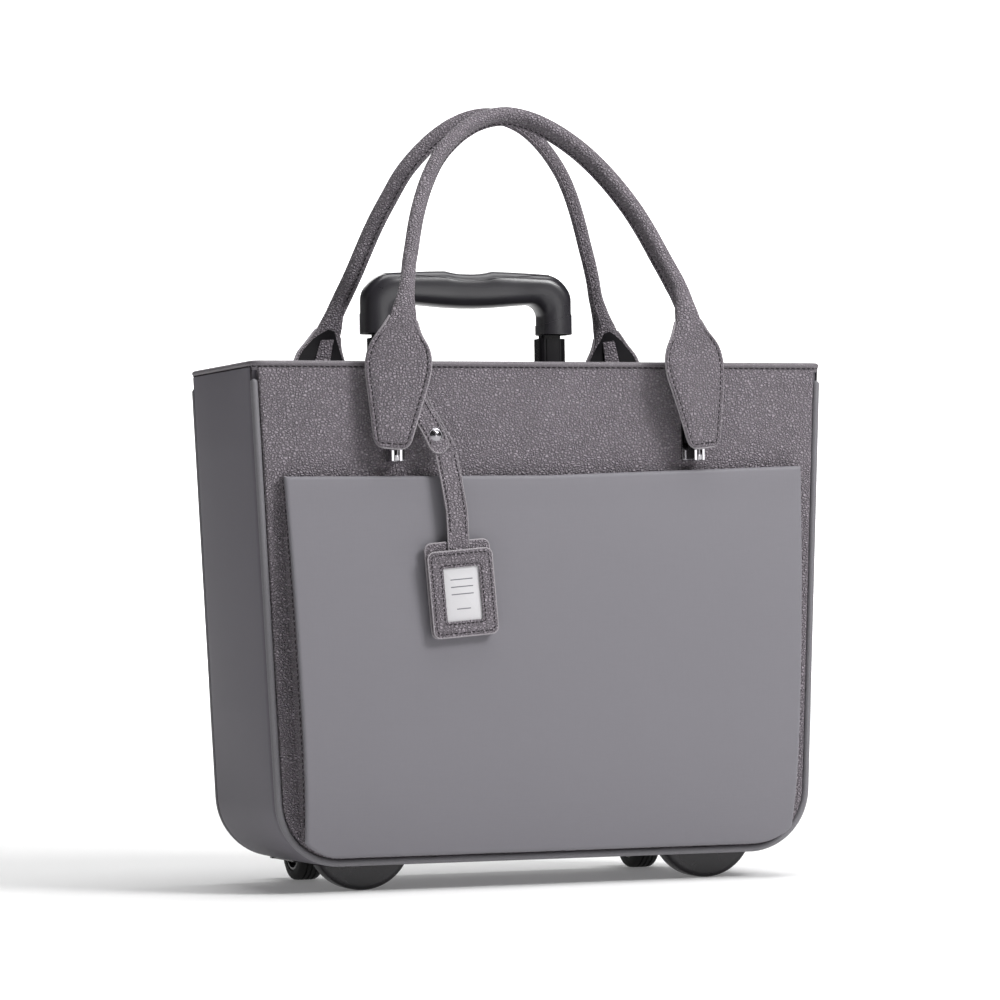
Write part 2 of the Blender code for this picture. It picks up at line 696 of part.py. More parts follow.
# ---------------------------------------------------------------- wheels and feet
def wheels():
    for label, side in SIDES:
        hub_centre = Vector((side * WHEEL_X, WHEEL_Y, WHEEL_R))
        housing = keep("wheel_housing_" + label, rod_mesh(hub_centre, HOUSING_R, HOUSING_W, 32), PLASTIC)
        cut(housing, rod_mesh(hub_centre, WHEEL_R + 0.0022, TYRE_W + 0.0030, 32))
        open_below = (hub_centre + Vector((-0.03, -0.05, -0.05)), hub_centre + Vector((0.03, 0.05, -0.0095)))
        cut(housing, box_mesh(*open_below))
        cut(housing, rod_mesh(hub_centre, AXLE_R + GAP, 0.06, 16))
        keep("wheel_axle_" + label, rod_mesh(hub_centre, AXLE_R, HOUSING_W + 0.0010, 16), STEEL)
        joint = empty("wheel_" + label + "_joint", hub_centre, case_origin)
        half = TYRE_W / 2
        tyre = [
            (-half, 0.0172), (half, 0.0172), (half, 0.0215), (half - 0.0015, 0.0236),
            (half - 0.0045, WHEEL_R), (0.0045 - half, WHEEL_R), (0.0015 - half, 0.0236), (-half, 0.0215),
        ]
        keep("wheel_tyre_" + label, turned_mesh(tyre, hub_centre), TYRE, joint)
        hub = [
            (-0.0095, 0.0034), (0.0095, 0.0034), (0.0095, 0.0070), (0.0050, 0.0080), (0.0050, 0.0140),
            (0.0085, 0.0150), (0.0085, 0.0169), (-0.0085, 0.0169), (-0.0085, 0.0150), (-0.0050, 0.0140),
            (-0.0050, 0.0080), (-0.0095, 0.0070),
        ]
        keep("wheel_hub_" + label, turned_mesh(hub, hub_centre), PLASTIC, joint)


def feet():
    """Half-moon feet, flat where they stand."""
    reach = asin(FOOT_W / 2 / FOOT_ARC_R)
    centre_z = BASE_Z - GAP + FOOT_ARC_R * cos(reach)
    flat = acos(centre_z / FOOT_ARC_R)
    steps = 6
    for label, side in SIDES:
        right = []
        for step in range(steps + 1):
            turn = reach + (flat - reach) * step / steps
            right.append((FOOT_ARC_R * sin(turn), max(0.0, centre_z - FOOT_ARC_R * cos(turn))))
        outline = [(side * FOOT_X + x, z) for x, z in right]
        outline += [(side * FOOT_X - x, z) for x, z in reversed(right)]
        foot = plate_mesh([outline], FOOT_Y - FOOT_DEPTH / 2, FOOT_Y + FOOT_DEPTH / 2)
        keep("front_foot_" + label, foot, PLASTIC)


# ---------------------------------------------------------------- tote handles
ROLL_START_Z = TAB_BOTTOM_Z + TAB_LENGTH + 0.0046
ROLL_FOOT_OUT = HALF_DEPTH + 0.0125          # the roll's lower ends, over the tabs
ROLL_BLEND = 0.035                           # height over which the ends straighten up
ROLL_HALF = 0.1035
ARCHES = {                                   # top, distance out at z = 0.390, lean, curl
    "front": (0.5375, 0.0861, 0.50, 0.45),
    "rear": (0.5415, 0.0745, 0.295, 0.0),
}


def roll_path(end, facing):
    """The handle's arch, a rounded peak that leans over the bag."""
    top, start, lean, curl = ARCHES[end]
    foot_z = ROLL_START_Z - 0.0120
    first = asin(((ROLL_START_Z - foot_z) / (top - foot_z)) ** 0.75)
    steps = 15

    def leaning(z):
        return start - lean * (z - 0.390) - curl * (z - 0.390) ** 2

    right = []
    for step in range(steps + 1):
        turn = first + (pi / 2 - first) * step / steps
        z = foot_z + sin(turn) ** (2 / 1.5) * (top - foot_z)
        x = ROLL_HALF * max(0.0, cos(turn)) ** (2 / 1.9)
        blend = min(1.0, (z - ROLL_START_Z) / ROLL_BLEND)
        upright = 1 - blend * blend * (3 - 2 * blend)
        out = leaning(z) + (ROLL_FOOT_OUT - leaning(ROLL_START_Z)) * upright
        right.append((x if step < steps else 0.0, facing * out, z))
    below = (right[0][0] + 0.0002, right[0][1], ROLL_START_Z - 0.0008)
    right.insert(0, below)
    return right + [(-x, y, z) for x, y, z in reversed(right[:-1])]


TAB_HALF_WIDTHS = (           # share of the tab's length from its bottom, half its width there
    (0.0, 0.0045), (0.012, 0.0088), (0.045, 0.0108), (0.20, 0.0145), (0.42, 0.0205),
    (0.56, 0.0225), (0.68, 0.0220), (0.80, 0.0175), (0.90, 0.0115), (1.0, 0.0085),
)
STRAP_OUT = (0.0113, 0.0133)                 # an inner strap's two faces, off the panel
STRAP_LOW_Z = PIN_Z + 0.0098
STRAP_TOP_Z = 0.3940
STRAP_HALF = 0.0070
TONGUE_OUT = (0.0110, 0.0129)
TONGUE_HALF = 0.00165
CHEEK_OUT = 0.0120
BRACKET_HALF = 0.00375
SLOT_HALF = 0.00205


def tab_mesh(facing):
    """The right-hand leaf-shaped tab, upright, with its lower end at the bracket."""
    right = [(half, TAB_BOTTOM_Z + share * TAB_LENGTH) for share, half in TAB_HALF_WIDTHS]
    outline = right + [(-x, z) for x, z in reversed(right)]
    near, far = facing * (HALF_DEPTH + TAB_BACK), facing * (HALF_DEPTH + TAB_BACK + TAB_THICK)
    mesh = plate_mesh([outline], min(near, far), max(near, far), smooth_loop=True)
    mesh.transform(Matrix.Translation((BRACKET_X + 0.0005, 0, 0)))
    return turned_about(mesh, (BRACKET_X, 0, PIN_Z), -TAB_LEAN)


def handles():
    for end, facing in ENDS:
        pin_y = facing * (HALF_DEPTH + PIN_OUT)
        joint = empty(end + "_handle_joint", (0, pin_y, PIN_Z), case_origin)
        keep(end + "_handle_roll", tube_mesh(roll_path(end, facing), ROLL_R), GRAINED, joint)
        for label, side in SIDES:
            x = side * BRACKET_X
            keep("%s_handle_tab_%s" % (end, label), mirrored(tab_mesh(facing), side), GRAINED, joint)

            def across(near, far):
                """Two distances off the panel as Y values, low then high."""
                return sorted((facing * (HALF_DEPTH + near), facing * (HALF_DEPTH + far)))

            low, high = across(*STRAP_OUT)
            strap = box_mesh(
                (BRACKET_X - STRAP_HALF, low, STRAP_LOW_Z), (BRACKET_X + STRAP_HALF, high, STRAP_TOP_Z),
            )
            strap = keep(
                "%s_handle_strap_%s" % (end, label),
                mirrored(turned_about(strap, (BRACKET_X, 0, PIN_Z), -TAB_LEAN), side), GRAINED, joint,
            )
            low, high = across(*TONGUE_OUT)
            tongue = ((x - TONGUE_HALF, low, PIN_Z), (x + TONGUE_HALF, high, STRAP_LOW_Z + 0.002))
            joined(strap, box_mesh(*tongue))
            joined(strap, rod_mesh((x, pin_y, PIN_Z), 0.0029, 0.0032, 12))
            cut(strap, rod_mesh((x, pin_y, PIN_Z), 0.0019, 0.02, 12))
            low, high = across(GAP, CHEEK_OUT)
            bracket = keep("%s_handle_bracket_%s" % (end, label), box_mesh(
                (x - BRACKET_HALF, low, PIN_Z - 0.0045), (x + BRACKET_HALF, high, PIN_Z + 0.0082),
            ), GUNMETAL)
            low, high = across(0.0060, 0.0200)
            cut(bracket, box_mesh((x - SLOT_HALF, low, PIN_Z - 0.01), (x + SLOT_HALF, high, PIN_Z + 0.02)))
            joined(bracket, rod_mesh((x, pin_y, PIN_Z), 0.0015, 0.0060, 12))


# ---------------------------------------------------------------- tag
STRAP_W = 0.0135
STRAP_T = 0.0026
TAG_LEAN = radians(4.0)
KEEPER_X, KEEPER_Z = -0.1010, 0.3450
KEEPER_HALF = (0.0120, 0.0045)
SNAP_X, SNAP_Y, SNAP_Z = -0.0842, -0.0848, 0.3085
SNAP_R = 0.0048
TAG_PLANE = -0.0945                          # middle of the lower strap where it meets the holder
TAG_CENTRE = (-0.0690, 0.2040)
TAG_HALF = (0.0230, 0.0320)
CARD_HALF = (0.0150, 0.0205)
WINDOW_HALF = (0.0120, 0.0175)
CARD_DROP = 0.0035                           # the card and its window sit below the tag's middle


def ribbon_mesh(points, width, thick):
    """A flat strap swept along points, its flat side facing the front."""

    def build(work):
        rings = []
        for index, place in enumerate(points):
            before = Vector(points[max(index - 1, 0)])
            after = Vector(points[min(index + 1, len(points) - 1)])
            along = (after - before).normalized()
            across = along.cross(Vector((0, -1, 0))).normalized()
            face = across.cross(along).normalized()
            ring = []
            for a, b in ((-1, -1), (1, -1), (1, 1), (-1, 1)):
                ring.append(work.verts.new(Vector(place) + across * a * width / 2 + face * b * thick / 2))
            rings.append(ring)
        for low, high in zip(rings, rings[1:]):
            for k in range(4):
                work.faces.new((low[k], low[(k + 1) % 4], high[(k + 1) % 4], high[k]))
        work.faces.new(rings[0])
        work.faces.new(rings[-1])

    return mesh_of(build)


def tag():
    """A card holder that hangs on a snapped strap from a keeper behind the left front tab."""
    joint = empty("tag_joint", TAG_HINGE, case_origin)
    front = -HALF_DEPTH - GAP
    half_x, half_z = KEEPER_HALF
    keeper = keep("tag_keeper", box_mesh(
        (KEEPER_X - half_x, front - 0.0064, KEEPER_Z - half_z), (KEEPER_X + half_x, front, KEEPER_Z + half_z),
    ), GUNMETAL)
    cut(keeper, box_mesh(
        (KEEPER_X - 0.0098, front - 0.0050, KEEPER_Z - 0.01),
        (KEEPER_X + 0.0098, front - 0.0006, KEEPER_Z + 0.01),
    ))
    hinge = Vector(TAG_HINGE)
    keep("tag_loop", ribbon_mesh([
        (KEEPER_X, front - 0.0028, KEEPER_Z + 0.0060), (KEEPER_X + 0.0010, front - 0.0028, KEEPER_Z - 0.0080),
        (-0.0905, -0.0800, 0.3240), (-0.0840, SNAP_Y, SNAP_Z), (hinge.x, hinge.y + 0.0004, hinge.z + 0.0012),
    ], STRAP_W, STRAP_T), GRAINED)
    snap_place = (SNAP_X, SNAP_Y - STRAP_T / 2 - 0.0020, SNAP_Z)
    snap = keep("tag_snap", rod_mesh(snap_place, SNAP_R, 0.0016, 16, "Y"), GUNMETAL)
    bevelled(snap, 0.0007, 2)
    keep("tag_strap", ribbon_mesh([
        (hinge.x + 0.0003, hinge.y - 0.0002, hinge.z - 0.0014), (-0.0745, -0.0905, 0.2800),
        (-0.0718, TAG_PLANE + 0.0005, 0.2560), (-0.0712, TAG_PLANE, 0.2200),
    ], STRAP_W, 0.0018), GRAINED, joint)
    centre_x, centre_z = TAG_CENTRE

    def tag_sheet(half, radius, steps, low, high, window=None, top_cut=0.0, drop=0.0):
        """A rounded sheet of the holder, leaning with it, its upper edge lowered by top_cut."""
        loops = [[
            (centre_x + x, centre_z - drop + z - (top_cut if z > 0 else 0))
            for x, z in rounded_rectangle(*half, radius, steps)
        ]]
        if window:
            loops.append([
                (centre_x + x, centre_z - CARD_DROP + z) for x, z in rounded_rectangle(*window, 0.0015, 2)
            ])
        return turned_about(plate_mesh(loops, low, high), (centre_x, 0, centre_z), TAG_LEAN)

    back = TAG_PLANE + 0.0009 + GAP
    keep("tag_back", tag_sheet(TAG_HALF, 0.0045, 4, back, back + 0.0014), GRAINED, joint)
    face = TAG_PLANE - 0.0009 - GAP
    keep("tag_card", tag_sheet(CARD_HALF, 0.001, 1, face - 0.0005, face, drop=CARD_DROP), CARD, joint)
    face -= 0.0005 + GAP
    keep("tag_front", tag_sheet(TAG_HALF, 0.0045, 4, face - 0.0012, face, WINDOW_HALF, 0.006), GRAINED, joint)


bag_shell()
piping()
pocket()
inside()
zipped_top()
trolley()
wheels()
feet()
handles()
tag()
bpy.context.view_layer.update()
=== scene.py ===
"""Rolling laptop case: everything that is seen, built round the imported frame.

Units are metres, +Z is up and the front of the case faces -Y, as in the frame.  Each piece is
placed from the frame's own boxes, and rides on one of its bodies.
"""
from math import asin, atan, cos, pi, radians, sin, sqrt

import bmesh
import bpy
import numpy as np
from mathutils import Matrix, Vector


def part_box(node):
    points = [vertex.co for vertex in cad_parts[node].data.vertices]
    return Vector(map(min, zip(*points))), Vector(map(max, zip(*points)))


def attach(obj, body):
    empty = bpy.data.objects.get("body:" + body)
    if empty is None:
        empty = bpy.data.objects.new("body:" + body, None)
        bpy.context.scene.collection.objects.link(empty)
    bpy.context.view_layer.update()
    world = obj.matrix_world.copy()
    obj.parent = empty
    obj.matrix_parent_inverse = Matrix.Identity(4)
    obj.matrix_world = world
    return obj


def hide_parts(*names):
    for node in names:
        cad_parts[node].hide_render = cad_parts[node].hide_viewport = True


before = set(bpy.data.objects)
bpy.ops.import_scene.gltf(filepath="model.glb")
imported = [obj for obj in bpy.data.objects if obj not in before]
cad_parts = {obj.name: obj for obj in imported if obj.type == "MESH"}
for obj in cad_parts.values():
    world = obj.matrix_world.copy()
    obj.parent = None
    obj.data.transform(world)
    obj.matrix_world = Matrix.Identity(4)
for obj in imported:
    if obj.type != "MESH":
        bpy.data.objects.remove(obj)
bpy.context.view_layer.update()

MM = 0.001

# ---------------------------------------------------------------- measures from the frame
GAP = 0.3 * MM
front_box, rear_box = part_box("front_panel"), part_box("rear_panel")
rim_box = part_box("rim_binding")
FRONT_Y, REAR_Y = front_box[0].y, rear_box[1].y
MID_Y = (FRONT_Y + REAR_Y) / 2
HALF_DEPTH = (REAR_Y - FRONT_Y) / 2
WALL = front_box[1].y - FRONT_Y
RIM_Z = rim_box[1].z
BINDING_H = RIM_Z - rim_box[0].z
BASE_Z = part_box("gusset")[0].z
SIDE_SLOPE = 0.0466
SIDE_ANGLE = atan(SIDE_SLOPE)
RIM_HALF = rim_box[1].x + SIDE_SLOPE * BINDING_H / 2
CORNER_R = 0.045
CORNER_Z = BASE_Z + CORNER_R
PIPING_R = (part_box("front_piping")[1].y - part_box("front_piping")[0].y) / 2
PANEL_INSET = 2 * PIPING_R + GAP
PANEL_TOP = front_box[1].z
FACE_TOP = RIM_Z - 4.7 * MM                  # the leather and cloth run up under the rim's fold


def half_width(z, inset=0.0):
    """The bag's half width at a height, on its straight sides."""
    return RIM_HALF - SIDE_SLOPE * (RIM_Z - z) - inset / cos(SIDE_ANGLE)


CORNER_X = half_width(CORNER_Z, CORNER_R)


def row_half(z, inset):
    """The half width of the bag's outline at any height, its rounded corners included."""
    if z >= CORNER_Z:
        return half_width(z, inset)
    fall = min(1.0, (CORNER_Z - z) / (CORNER_R - inset))
    return CORNER_X + (CORNER_R - inset) * sqrt(1 - fall ** 2)


def outline(inset, top, spacing):
    """Evenly spaced points (x, z) and outward directions, from the top right round to the top left."""
    side_steps, corner_steps = 8, 24
    points, outward = [], []
    for z in np.linspace(top, CORNER_Z, side_steps + 1):
        points.append((half_width(z, inset), z))
        outward.append((cos(SIDE_ANGLE), -sin(SIDE_ANGLE)))
    for turn in np.linspace(-SIDE_ANGLE, -pi / 2, corner_steps + 1)[1:]:
        reach = CORNER_R - inset
        points.append((CORNER_X + reach * cos(turn), CORNER_Z + reach * sin(turn)))
        outward.append((cos(turn), sin(turn)))
    points += [(-x, z) for x, z in reversed(points)]
    outward += [(-x, z) for x, z in reversed(outward)]
    path, ways = np.array(points), np.array(outward)
    run = run_along(path)
    even = np.linspace(0, run[-1], int(run[-1] / spacing) + 1)
    return resampled(even, run, path), unit(resampled(even, run, ways))


# ---------------------------------------------------------------- building tools
def unit(rows):
    return rows / np.linalg.norm(rows, axis=-1, keepdims=True)


def eased(share):
    """A smooth step between 0 and 1."""
    return share * share * (3 - 2 * share)


def run_along(path):
    """Distance along a path at each of its points."""
    return np.concatenate([[0], np.cumsum(np.linalg.norm(np.diff(path, axis=0), axis=1))])


def resampled(places, run, rows):
    """Rows of values read off at other distances along their path."""
    return np.column_stack([np.interp(places, run, column) for column in rows.T])


def evened(path, spacing, smooth=0):
    """The path with evenly spaced points, rounded off by neighbour averaging."""
    path = np.array(path, float)
    run = run_along(path)
    path = resampled(np.linspace(0, run[-1], max(2, int(round(run[-1] / spacing)) + 1)), run, path)
    for _ in range(smooth):
        path[1:-1] = (path[:-2] + 2 * path[1:-1] + path[2:]) / 4
    return path


def line_of(*places):
    """A path from its coordinates, each an array or a single value."""
    return np.column_stack(np.broadcast_arrays(*places))


def linked(name, data):
    """A new object in the scene."""
    made = bpy.data.objects.new(name, data)
    bpy.context.scene.collection.objects.link(made)
    return made


def shaded(name, mesh, look, sharp):
    """A mesh's object, with its material and its edges sharp above an angle in degrees."""
    mesh.materials.append(look)
    mesh.shade_smooth()
    mesh.set_sharp_from_angle(angle=radians(sharp))
    return linked(name, mesh)


def mesh_piece(name, points, faces, look, sharp=50):
    mesh = bpy.data.meshes.new(name)
    mesh.from_pydata([tuple(map(float, p)) for p in points], [], faces)
    work = bmesh.new()
    work.from_mesh(mesh)
    bmesh.ops.remove_doubles(work, verts=work.verts, dist=0.5e-6)
    bmesh.ops.recalc_face_normals(work, faces=work.faces)
    work.to_mesh(mesh)
    work.free()
    return shaded(name, mesh, look, sharp)


def band(a, b, size):
    """The faces between two closed rings of points, from their first indices."""
    return [(a + k, a + (k + 1) % size, b + (k + 1) % size, b + k) for k in range(size)]


def loft(name, rings, look, closed=False, sharp=50):
    """A closed body through rings of points; its ends are capped unless it closes on itself."""
    rings = np.asarray(rings, float)
    count, size = rings.shape[:2]
    faces = []
    for row in range(count if closed else count - 1):
        faces += band(row * size, (row + 1) % count * size, size)
    if not closed:
        faces += [tuple(range(size)), tuple((count - 1) * size + k for k in range(size))]
    return mesh_piece(name, rings.reshape(-1, 3), faces, look, sharp)


def directions(path, face, closed=False):
    """Along, across and face directions at each point of a path."""
    along = np.roll(path, -1, axis=0) - np.roll(path, 1, axis=0) if closed else np.gradient(path, axis=0)
    along = unit(along)
    across = unit(np.cross(along, np.broadcast_to(np.array(face, float), path.shape)))
    return along, across, np.cross(across, along)


def sweep(name, path, face, profile, look, scale=None, closed=False, dome=False, sharp=50):
    """A profile of (across, face) points carried along a path; dome rounds its ends off."""
    path, profile = np.asarray(path, float), np.asarray(profile, float)
    along, across, out = directions(path, face, closed)
    size = np.ones(len(path)) if scale is None else np.asarray(scale, float)
    if dome:
        reach = np.abs(profile).max()
        turns = np.radians([88, 65, 40, 20])
        first = path[0] - along[0] * (reach * np.sin(turns))[:, None]
        last = path[-1] + along[-1] * (reach * np.sin(turns[::-1]))[:, None]
        path = np.vstack([first, path, last])
        size = np.concatenate([size[0] * np.cos(turns), size, size[-1] * np.cos(turns[::-1])])
        across, out = (np.vstack([ways[:1]] * 4 + [ways] + [ways[-1:]] * 4) for ways in (across, out))
    rings = (path[:, None] + size[:, None, None] * (
        across[:, None] * profile[None, :, :1] + out[:, None] * profile[None, :, 1:]))
    return loft(name, rings, look, closed, sharp)


def rounded(half_x, half_y, radius, steps=4):
    """A rounded rectangle as a ring of points."""
    ring = []
    for quarter, (sx, sy) in enumerate(((1, 1), (-1, 1), (-1, -1), (1, -1))):
        for turn in (quarter + np.linspace(0, 1, steps + 1)) * pi / 2:
            ring.append((sx * (half_x - radius) + radius * cos(turn),
                         sy * (half_y - radius) + radius * sin(turn)))
    return ring


def circle(radius, sides=16):
    turns = [2 * pi * k / sides for k in range(sides)]
    return [(radius * cos(turn), radius * sin(turn)) for turn in turns]


def scattered(name, shape, centres, axes, look, sharp=50):
    """Copies of a small shape (points, faces), one at each centre, turned by its three axes."""
    points, faces = np.array(shape[0], float), shape[1]
    everything, every_face = [], []
    for index, (centre, turn) in enumerate(zip(centres, axes)):
        everything.append(centre + points @ np.asarray(turn))
        every_face += [tuple(index * len(points) + k for k in face) for face in faces]
    mesh = bpy.data.meshes.new(name)
    mesh.from_pydata(np.vstack(everything).tolist(), [], every_face)
    return shaded(name, mesh, look, sharp)


def capsule(length, radius, sides=6):
    """A stitch: a short thread with blunt ends, along the first axis."""
    points, faces = [(-length / 2, 0, 0)], []
    for x, share in ((-0.40, 0.75), (0, 1.0), (0.40, 0.75)):
        points += [(x * length, share * y, share * z) for y, z in circle(radius, sides)]
    points.append((length / 2, 0, 0))
    last = len(points) - 1
    for k in range(sides):
        n = (k + 1) % sides
        faces += [(0, 1 + n, 1 + k), (last, 1 + 2 * sides + k, 1 + 2 * sides + n)]
        for a in (1, 1 + sides):
            faces.append((a + k, a + n, a + sides + n, a + sides + k))
    return points, faces


def block(x, y, z, bevel):
    """A small block with chamfered edges."""
    work = bmesh.new()
    bmesh.ops.create_cube(work, size=1.0)
    bmesh.ops.scale(work, vec=(x, y, z), verts=work.verts)
    bmesh.ops.bevel(work, geom=work.edges[:], offset=bevel, segments=1, affect="EDGES")
    shape = ([tuple(v.co) for v in work.verts], [tuple(v.index for v in f.verts) for f in work.faces])
    work.free()
    return shape


def stitches(name, path, face, body, slot, pitch=4.0 * MM, length=3.0 * MM, radius=0.44 * MM, closed=False):
    """A row of stitches along a path, each turned a little off the line as thread pulls it."""
    path = np.asarray(path, float)
    face = np.broadcast_to(np.array(face, float), path.shape)
    if closed:
        path, face = np.vstack([path, path[:1]]), np.vstack([face, face[:1]])
    run = run_along(path)
    even = np.arange(pitch / 2, run[-1] - pitch / 4, pitch)
    along = unit(resampled(even + pitch / 8, run, path) - resampled(even - pitch / 8, run, path))
    across = unit(np.cross(along, resampled(even, run, face)))
    slant = radians(7)
    turned_along = along * cos(slant) + across * sin(slant)
    side = across * cos(slant) - along * sin(slant)
    axes = np.stack([turned_along, side, np.cross(turned_along, side)], axis=1)
    row = scattered(name, capsule(length, radius), resampled(even, run, path), axes, THREAD)
    place(row, body, slot)


def place(piece, body, slot, *nodes):
    """Hangs a finished piece on its body, and hides the frame's nodes that it stands for."""
    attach(piece, body)
    if nodes:
        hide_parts(*nodes)
    return piece


def baked(guide):
    """The mesh of an object as its modifiers or its curve make it."""
    bpy.context.view_layer.update()
    graph = bpy.context.evaluated_depsgraph_get()
    return bpy.data.meshes.new_from_object(guide.evaluated_get(graph))


def carved(piece, low, high):
    """Cuts a box out of a piece."""
    work = bmesh.new()
    bmesh.ops.create_cube(work, size=1.0)
    bmesh.ops.scale(work, vec=Vector(high) - Vector(low), verts=work.verts)
    bmesh.ops.translate(work, vec=(Vector(low) + Vector(high)) / 2, verts=work.verts)
    mesh = bpy.data.meshes.new("cutter")
    work.to_mesh(mesh)
    work.free()
    cutter = linked("cutter", mesh)
    step = piece.modifiers.new("carved", "BOOLEAN")
    step.operation, step.solver, step.object = "DIFFERENCE", "EXACT", cutter
    mesh = baked(piece)
    piece.modifiers.clear()
    piece.data = mesh
    bpy.data.objects.remove(cutter, do_unlink=True)
    return piece


def refined(name, look, width, segments=2, angle=30):
    """Gives one of the frame's own nodes its material, and rounds its edges."""
    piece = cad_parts[name]
    piece.material_slots[0].material = look
    piece.modifiers.new("weld", "WELD").merge_threshold = 0.01 * MM
    step = piece.modifiers.new("rounded", "BEVEL")
    step.width, step.segments, step.limit_method = width, segments, "ANGLE"
    step.angle_limit = radians(angle)
    piece.modifiers.new("even", "WEIGHTED_NORMAL").keep_sharp = True


# ---------------------------------------------------------------- materials
def finish(name, colour, roughness, metallic=0.0, coat=0.0, sheen=0.0, specular=0.5):
    """A material, its node tree and its shader, with the values that are the same all over."""
    made = bpy.data.materials.new(name)
    made.use_nodes = True
    made.diffuse_color = (*colour, 1)
    shader = made.node_tree.nodes["Principled BSDF"]
    values = {"Base Color": (*colour, 1), "Roughness": roughness, "Metallic": metallic,
              "Coat Weight": coat, "Coat Roughness": 0.12, "Sheen Weight": sheen,
              "Sheen Roughness": 0.4, "Specular IOR Level": specular}
    for socket, value in values.items():
        shader.inputs[socket].default_value = value
    return made, made.node_tree, shader


def node(tree, kind, inputs=(), **settings):
    """A node with its settings, and with its inputs as pairs of a socket and a value or an output."""
    made = tree.nodes.new("ShaderNode" + kind)
    for key, value in settings.items():
        setattr(made, key, value)
    for socket, value in inputs:
        if isinstance(value, bpy.types.NodeSocket):
            tree.links.new(value, made.inputs[socket])
        else:
            made.inputs[socket].default_value = value
    return made


def math(tree, operation, a, b):
    return node(tree, "Math", ((0, a), (1, b)), operation=operation).outputs[0]


def times(tree, value, factor):
    return math(tree, "MULTIPLY", value, factor)


def spread(tree, source, low, high):
    """A value running from low to high as its source runs from 0 to 1."""
    return node(tree, "MapRange", (("Value", source), ("To Min", low), ("To Max", high))).outputs["Result"]


def tinted(tree, shader, colour, share, strength):
    """Lets a value between 0 and 1 darken and lighten the base colour by strength each way."""
    dark = (*[c * (1 - strength) for c in colour], 1)
    light = (*[min(1, c * (1 + strength)) for c in colour], 1)
    mix = node(tree, "Mix", data_type="RGBA", inputs=((0, share), (6, dark), (7, light)))
    tree.links.new(mix.outputs[2], shader.inputs["Base Color"])


def bumped(tree, shader, height, distance, strength=1.0):
    bump = node(tree, "Bump", (("Strength", strength), ("Distance", distance), ("Height", height)))
    tree.links.new(bump.outputs["Normal"], shader.inputs["Normal"])


def place_in(tree, stretch=(1, 1, 1)):
    """A point of the piece at rest, in metres, with its axes stretched."""
    where = node(tree, "TexCoord").outputs["Object"]
    return node(tree, "Mapping", (("Vector", where), ("Scale", stretch))).outputs["Vector"]


def noise(tree, where, scale, detail, output="Fac"):
    made = node(tree, "TexNoise", (("Vector", where), ("Scale", scale), ("Detail", detail)))
    return made.outputs[output]


def leather(name, colour, grain=2.2 * MM, depth=2.5 * MM, roughness=0.38, crease_shade=0.56):
    """Pebbled leather: rounded islands between creases, with a slow change of tone. The creases are darkened
    and the pebble tops lightened in the base colour, as painted shade and painted highlight.
    """
    made, tree, shader = finish(name, colour, roughness, sheen=0.05)
    where = place_in(tree, (1, 1, 1.22))
    wander = noise(tree, where, 300, 2, "Color")
    shift = node(tree, "VectorMath", ((0, wander), ("Scale", 0.9 * grain)), operation="SCALE")
    moved = node(tree, "VectorMath", ((0, where), (1, shift.outputs[0])), operation="ADD")
    cells = node(tree, "TexVoronoi", (("Vector", moved.outputs[0]), ("Scale", 1 / grain)),
                 feature="DISTANCE_TO_EDGE")
    pebble = math(tree, "MINIMUM", times(tree, cells.outputs["Distance"], 2.3), 1.0)
    pebble = math(tree, "POWER", pebble, 0.7)
    fine = noise(tree, where, 2600, 1)
    bumped(tree, shader, math(tree, "ADD", pebble, times(tree, fine, 0.18)), depth)
    slow = noise(tree, where, 24, 3)
    # painted shade darkens the creases and painted highlight lightens the pebble tops; the slow noise is the
    # leather's own tone
    tinted(tree, shader, colour, math(tree, "ADD", times(tree, pebble, 0.8), times(tree, slow, 0.3)), crease_shade)
    rough = math(tree, "SUBTRACT", roughness + 0.25, times(tree, pebble, 0.27))
    tree.links.new(rough, shader.inputs["Roughness"])
    return made


def weave(name, colour, pitch, depth, roughness, sheen=0.0, tone=0.06):
    """Woven cloth: fine crossing threads that vary in thickness, and a slow change of tone."""
    made, tree, shader = finish(name, colour, roughness, sheen=sheen, specular=0.22)
    where = place_in(tree)
    crossing = (("Vector", where), ("Scale", 2 * pi / (20 * pitch)), ("Distortion", 1.5),
                ("Detail Scale", 2.0))
    height = None
    for axis in "XYZ":
        thread = node(tree, "TexWave", crossing, wave_type="BANDS", bands_direction=axis).outputs["Fac"]
        height = thread if height is None else math(tree, "ADD", height, thread)
    upright = noise(tree, place_in(tree, (9, 9, 1)), 110, 3)
    level = noise(tree, place_in(tree, (1, 1, 9)), 110, 3)
    uneven = math(tree, "ADD", upright, level)
    bumped(tree, shader, math(tree, "ADD", times(tree, height, 0.35), uneven), depth, 0.7)
    slow = noise(tree, where, 9, 3)
    tinted(tree, shader, colour, math(tree, "ADD", times(tree, uneven, 0.30), times(tree, slow, 0.4)), tone)
    return made


def moulded(name, colour, roughness, grain=0.35 * MM, depth=0.02 * MM, coat=0.0, specular=0.5):
    """Moulded plastic or rubber with a fine spark-eroded texture and faint handling marks."""
    made, tree, shader = finish(name, colour, roughness, coat=coat, specular=specular)
    where = place_in(tree)
    bumped(tree, shader, noise(tree, where, 1 / grain, 3), depth, 0.6)
    marks = noise(tree, where, 40, 4)
    tree.links.new(spread(tree, marks, roughness - 0.09, roughness + 0.11), shader.inputs["Roughness"])
    tinted(tree, shader, colour, marks, 0.12)
    return made


def metal(name, colour, roughness, stretch=(1, 1, 1)):
    """Metal with fine drawn lines and a slightly uneven polish."""
    made, tree, shader = finish(name, colour, roughness, metallic=1.0)
    bumped(tree, shader, noise(tree, place_in(tree, stretch), 900, 2), 0.004 * MM, 0.5)
    cloud = noise(tree, place_in(tree), 120, 3)
    tree.links.new(spread(tree, cloud, roughness * 0.7, roughness * 1.35), shader.inputs["Roughness"])
    tinted(tree, shader, colour, cloud, 0.10)
    return made


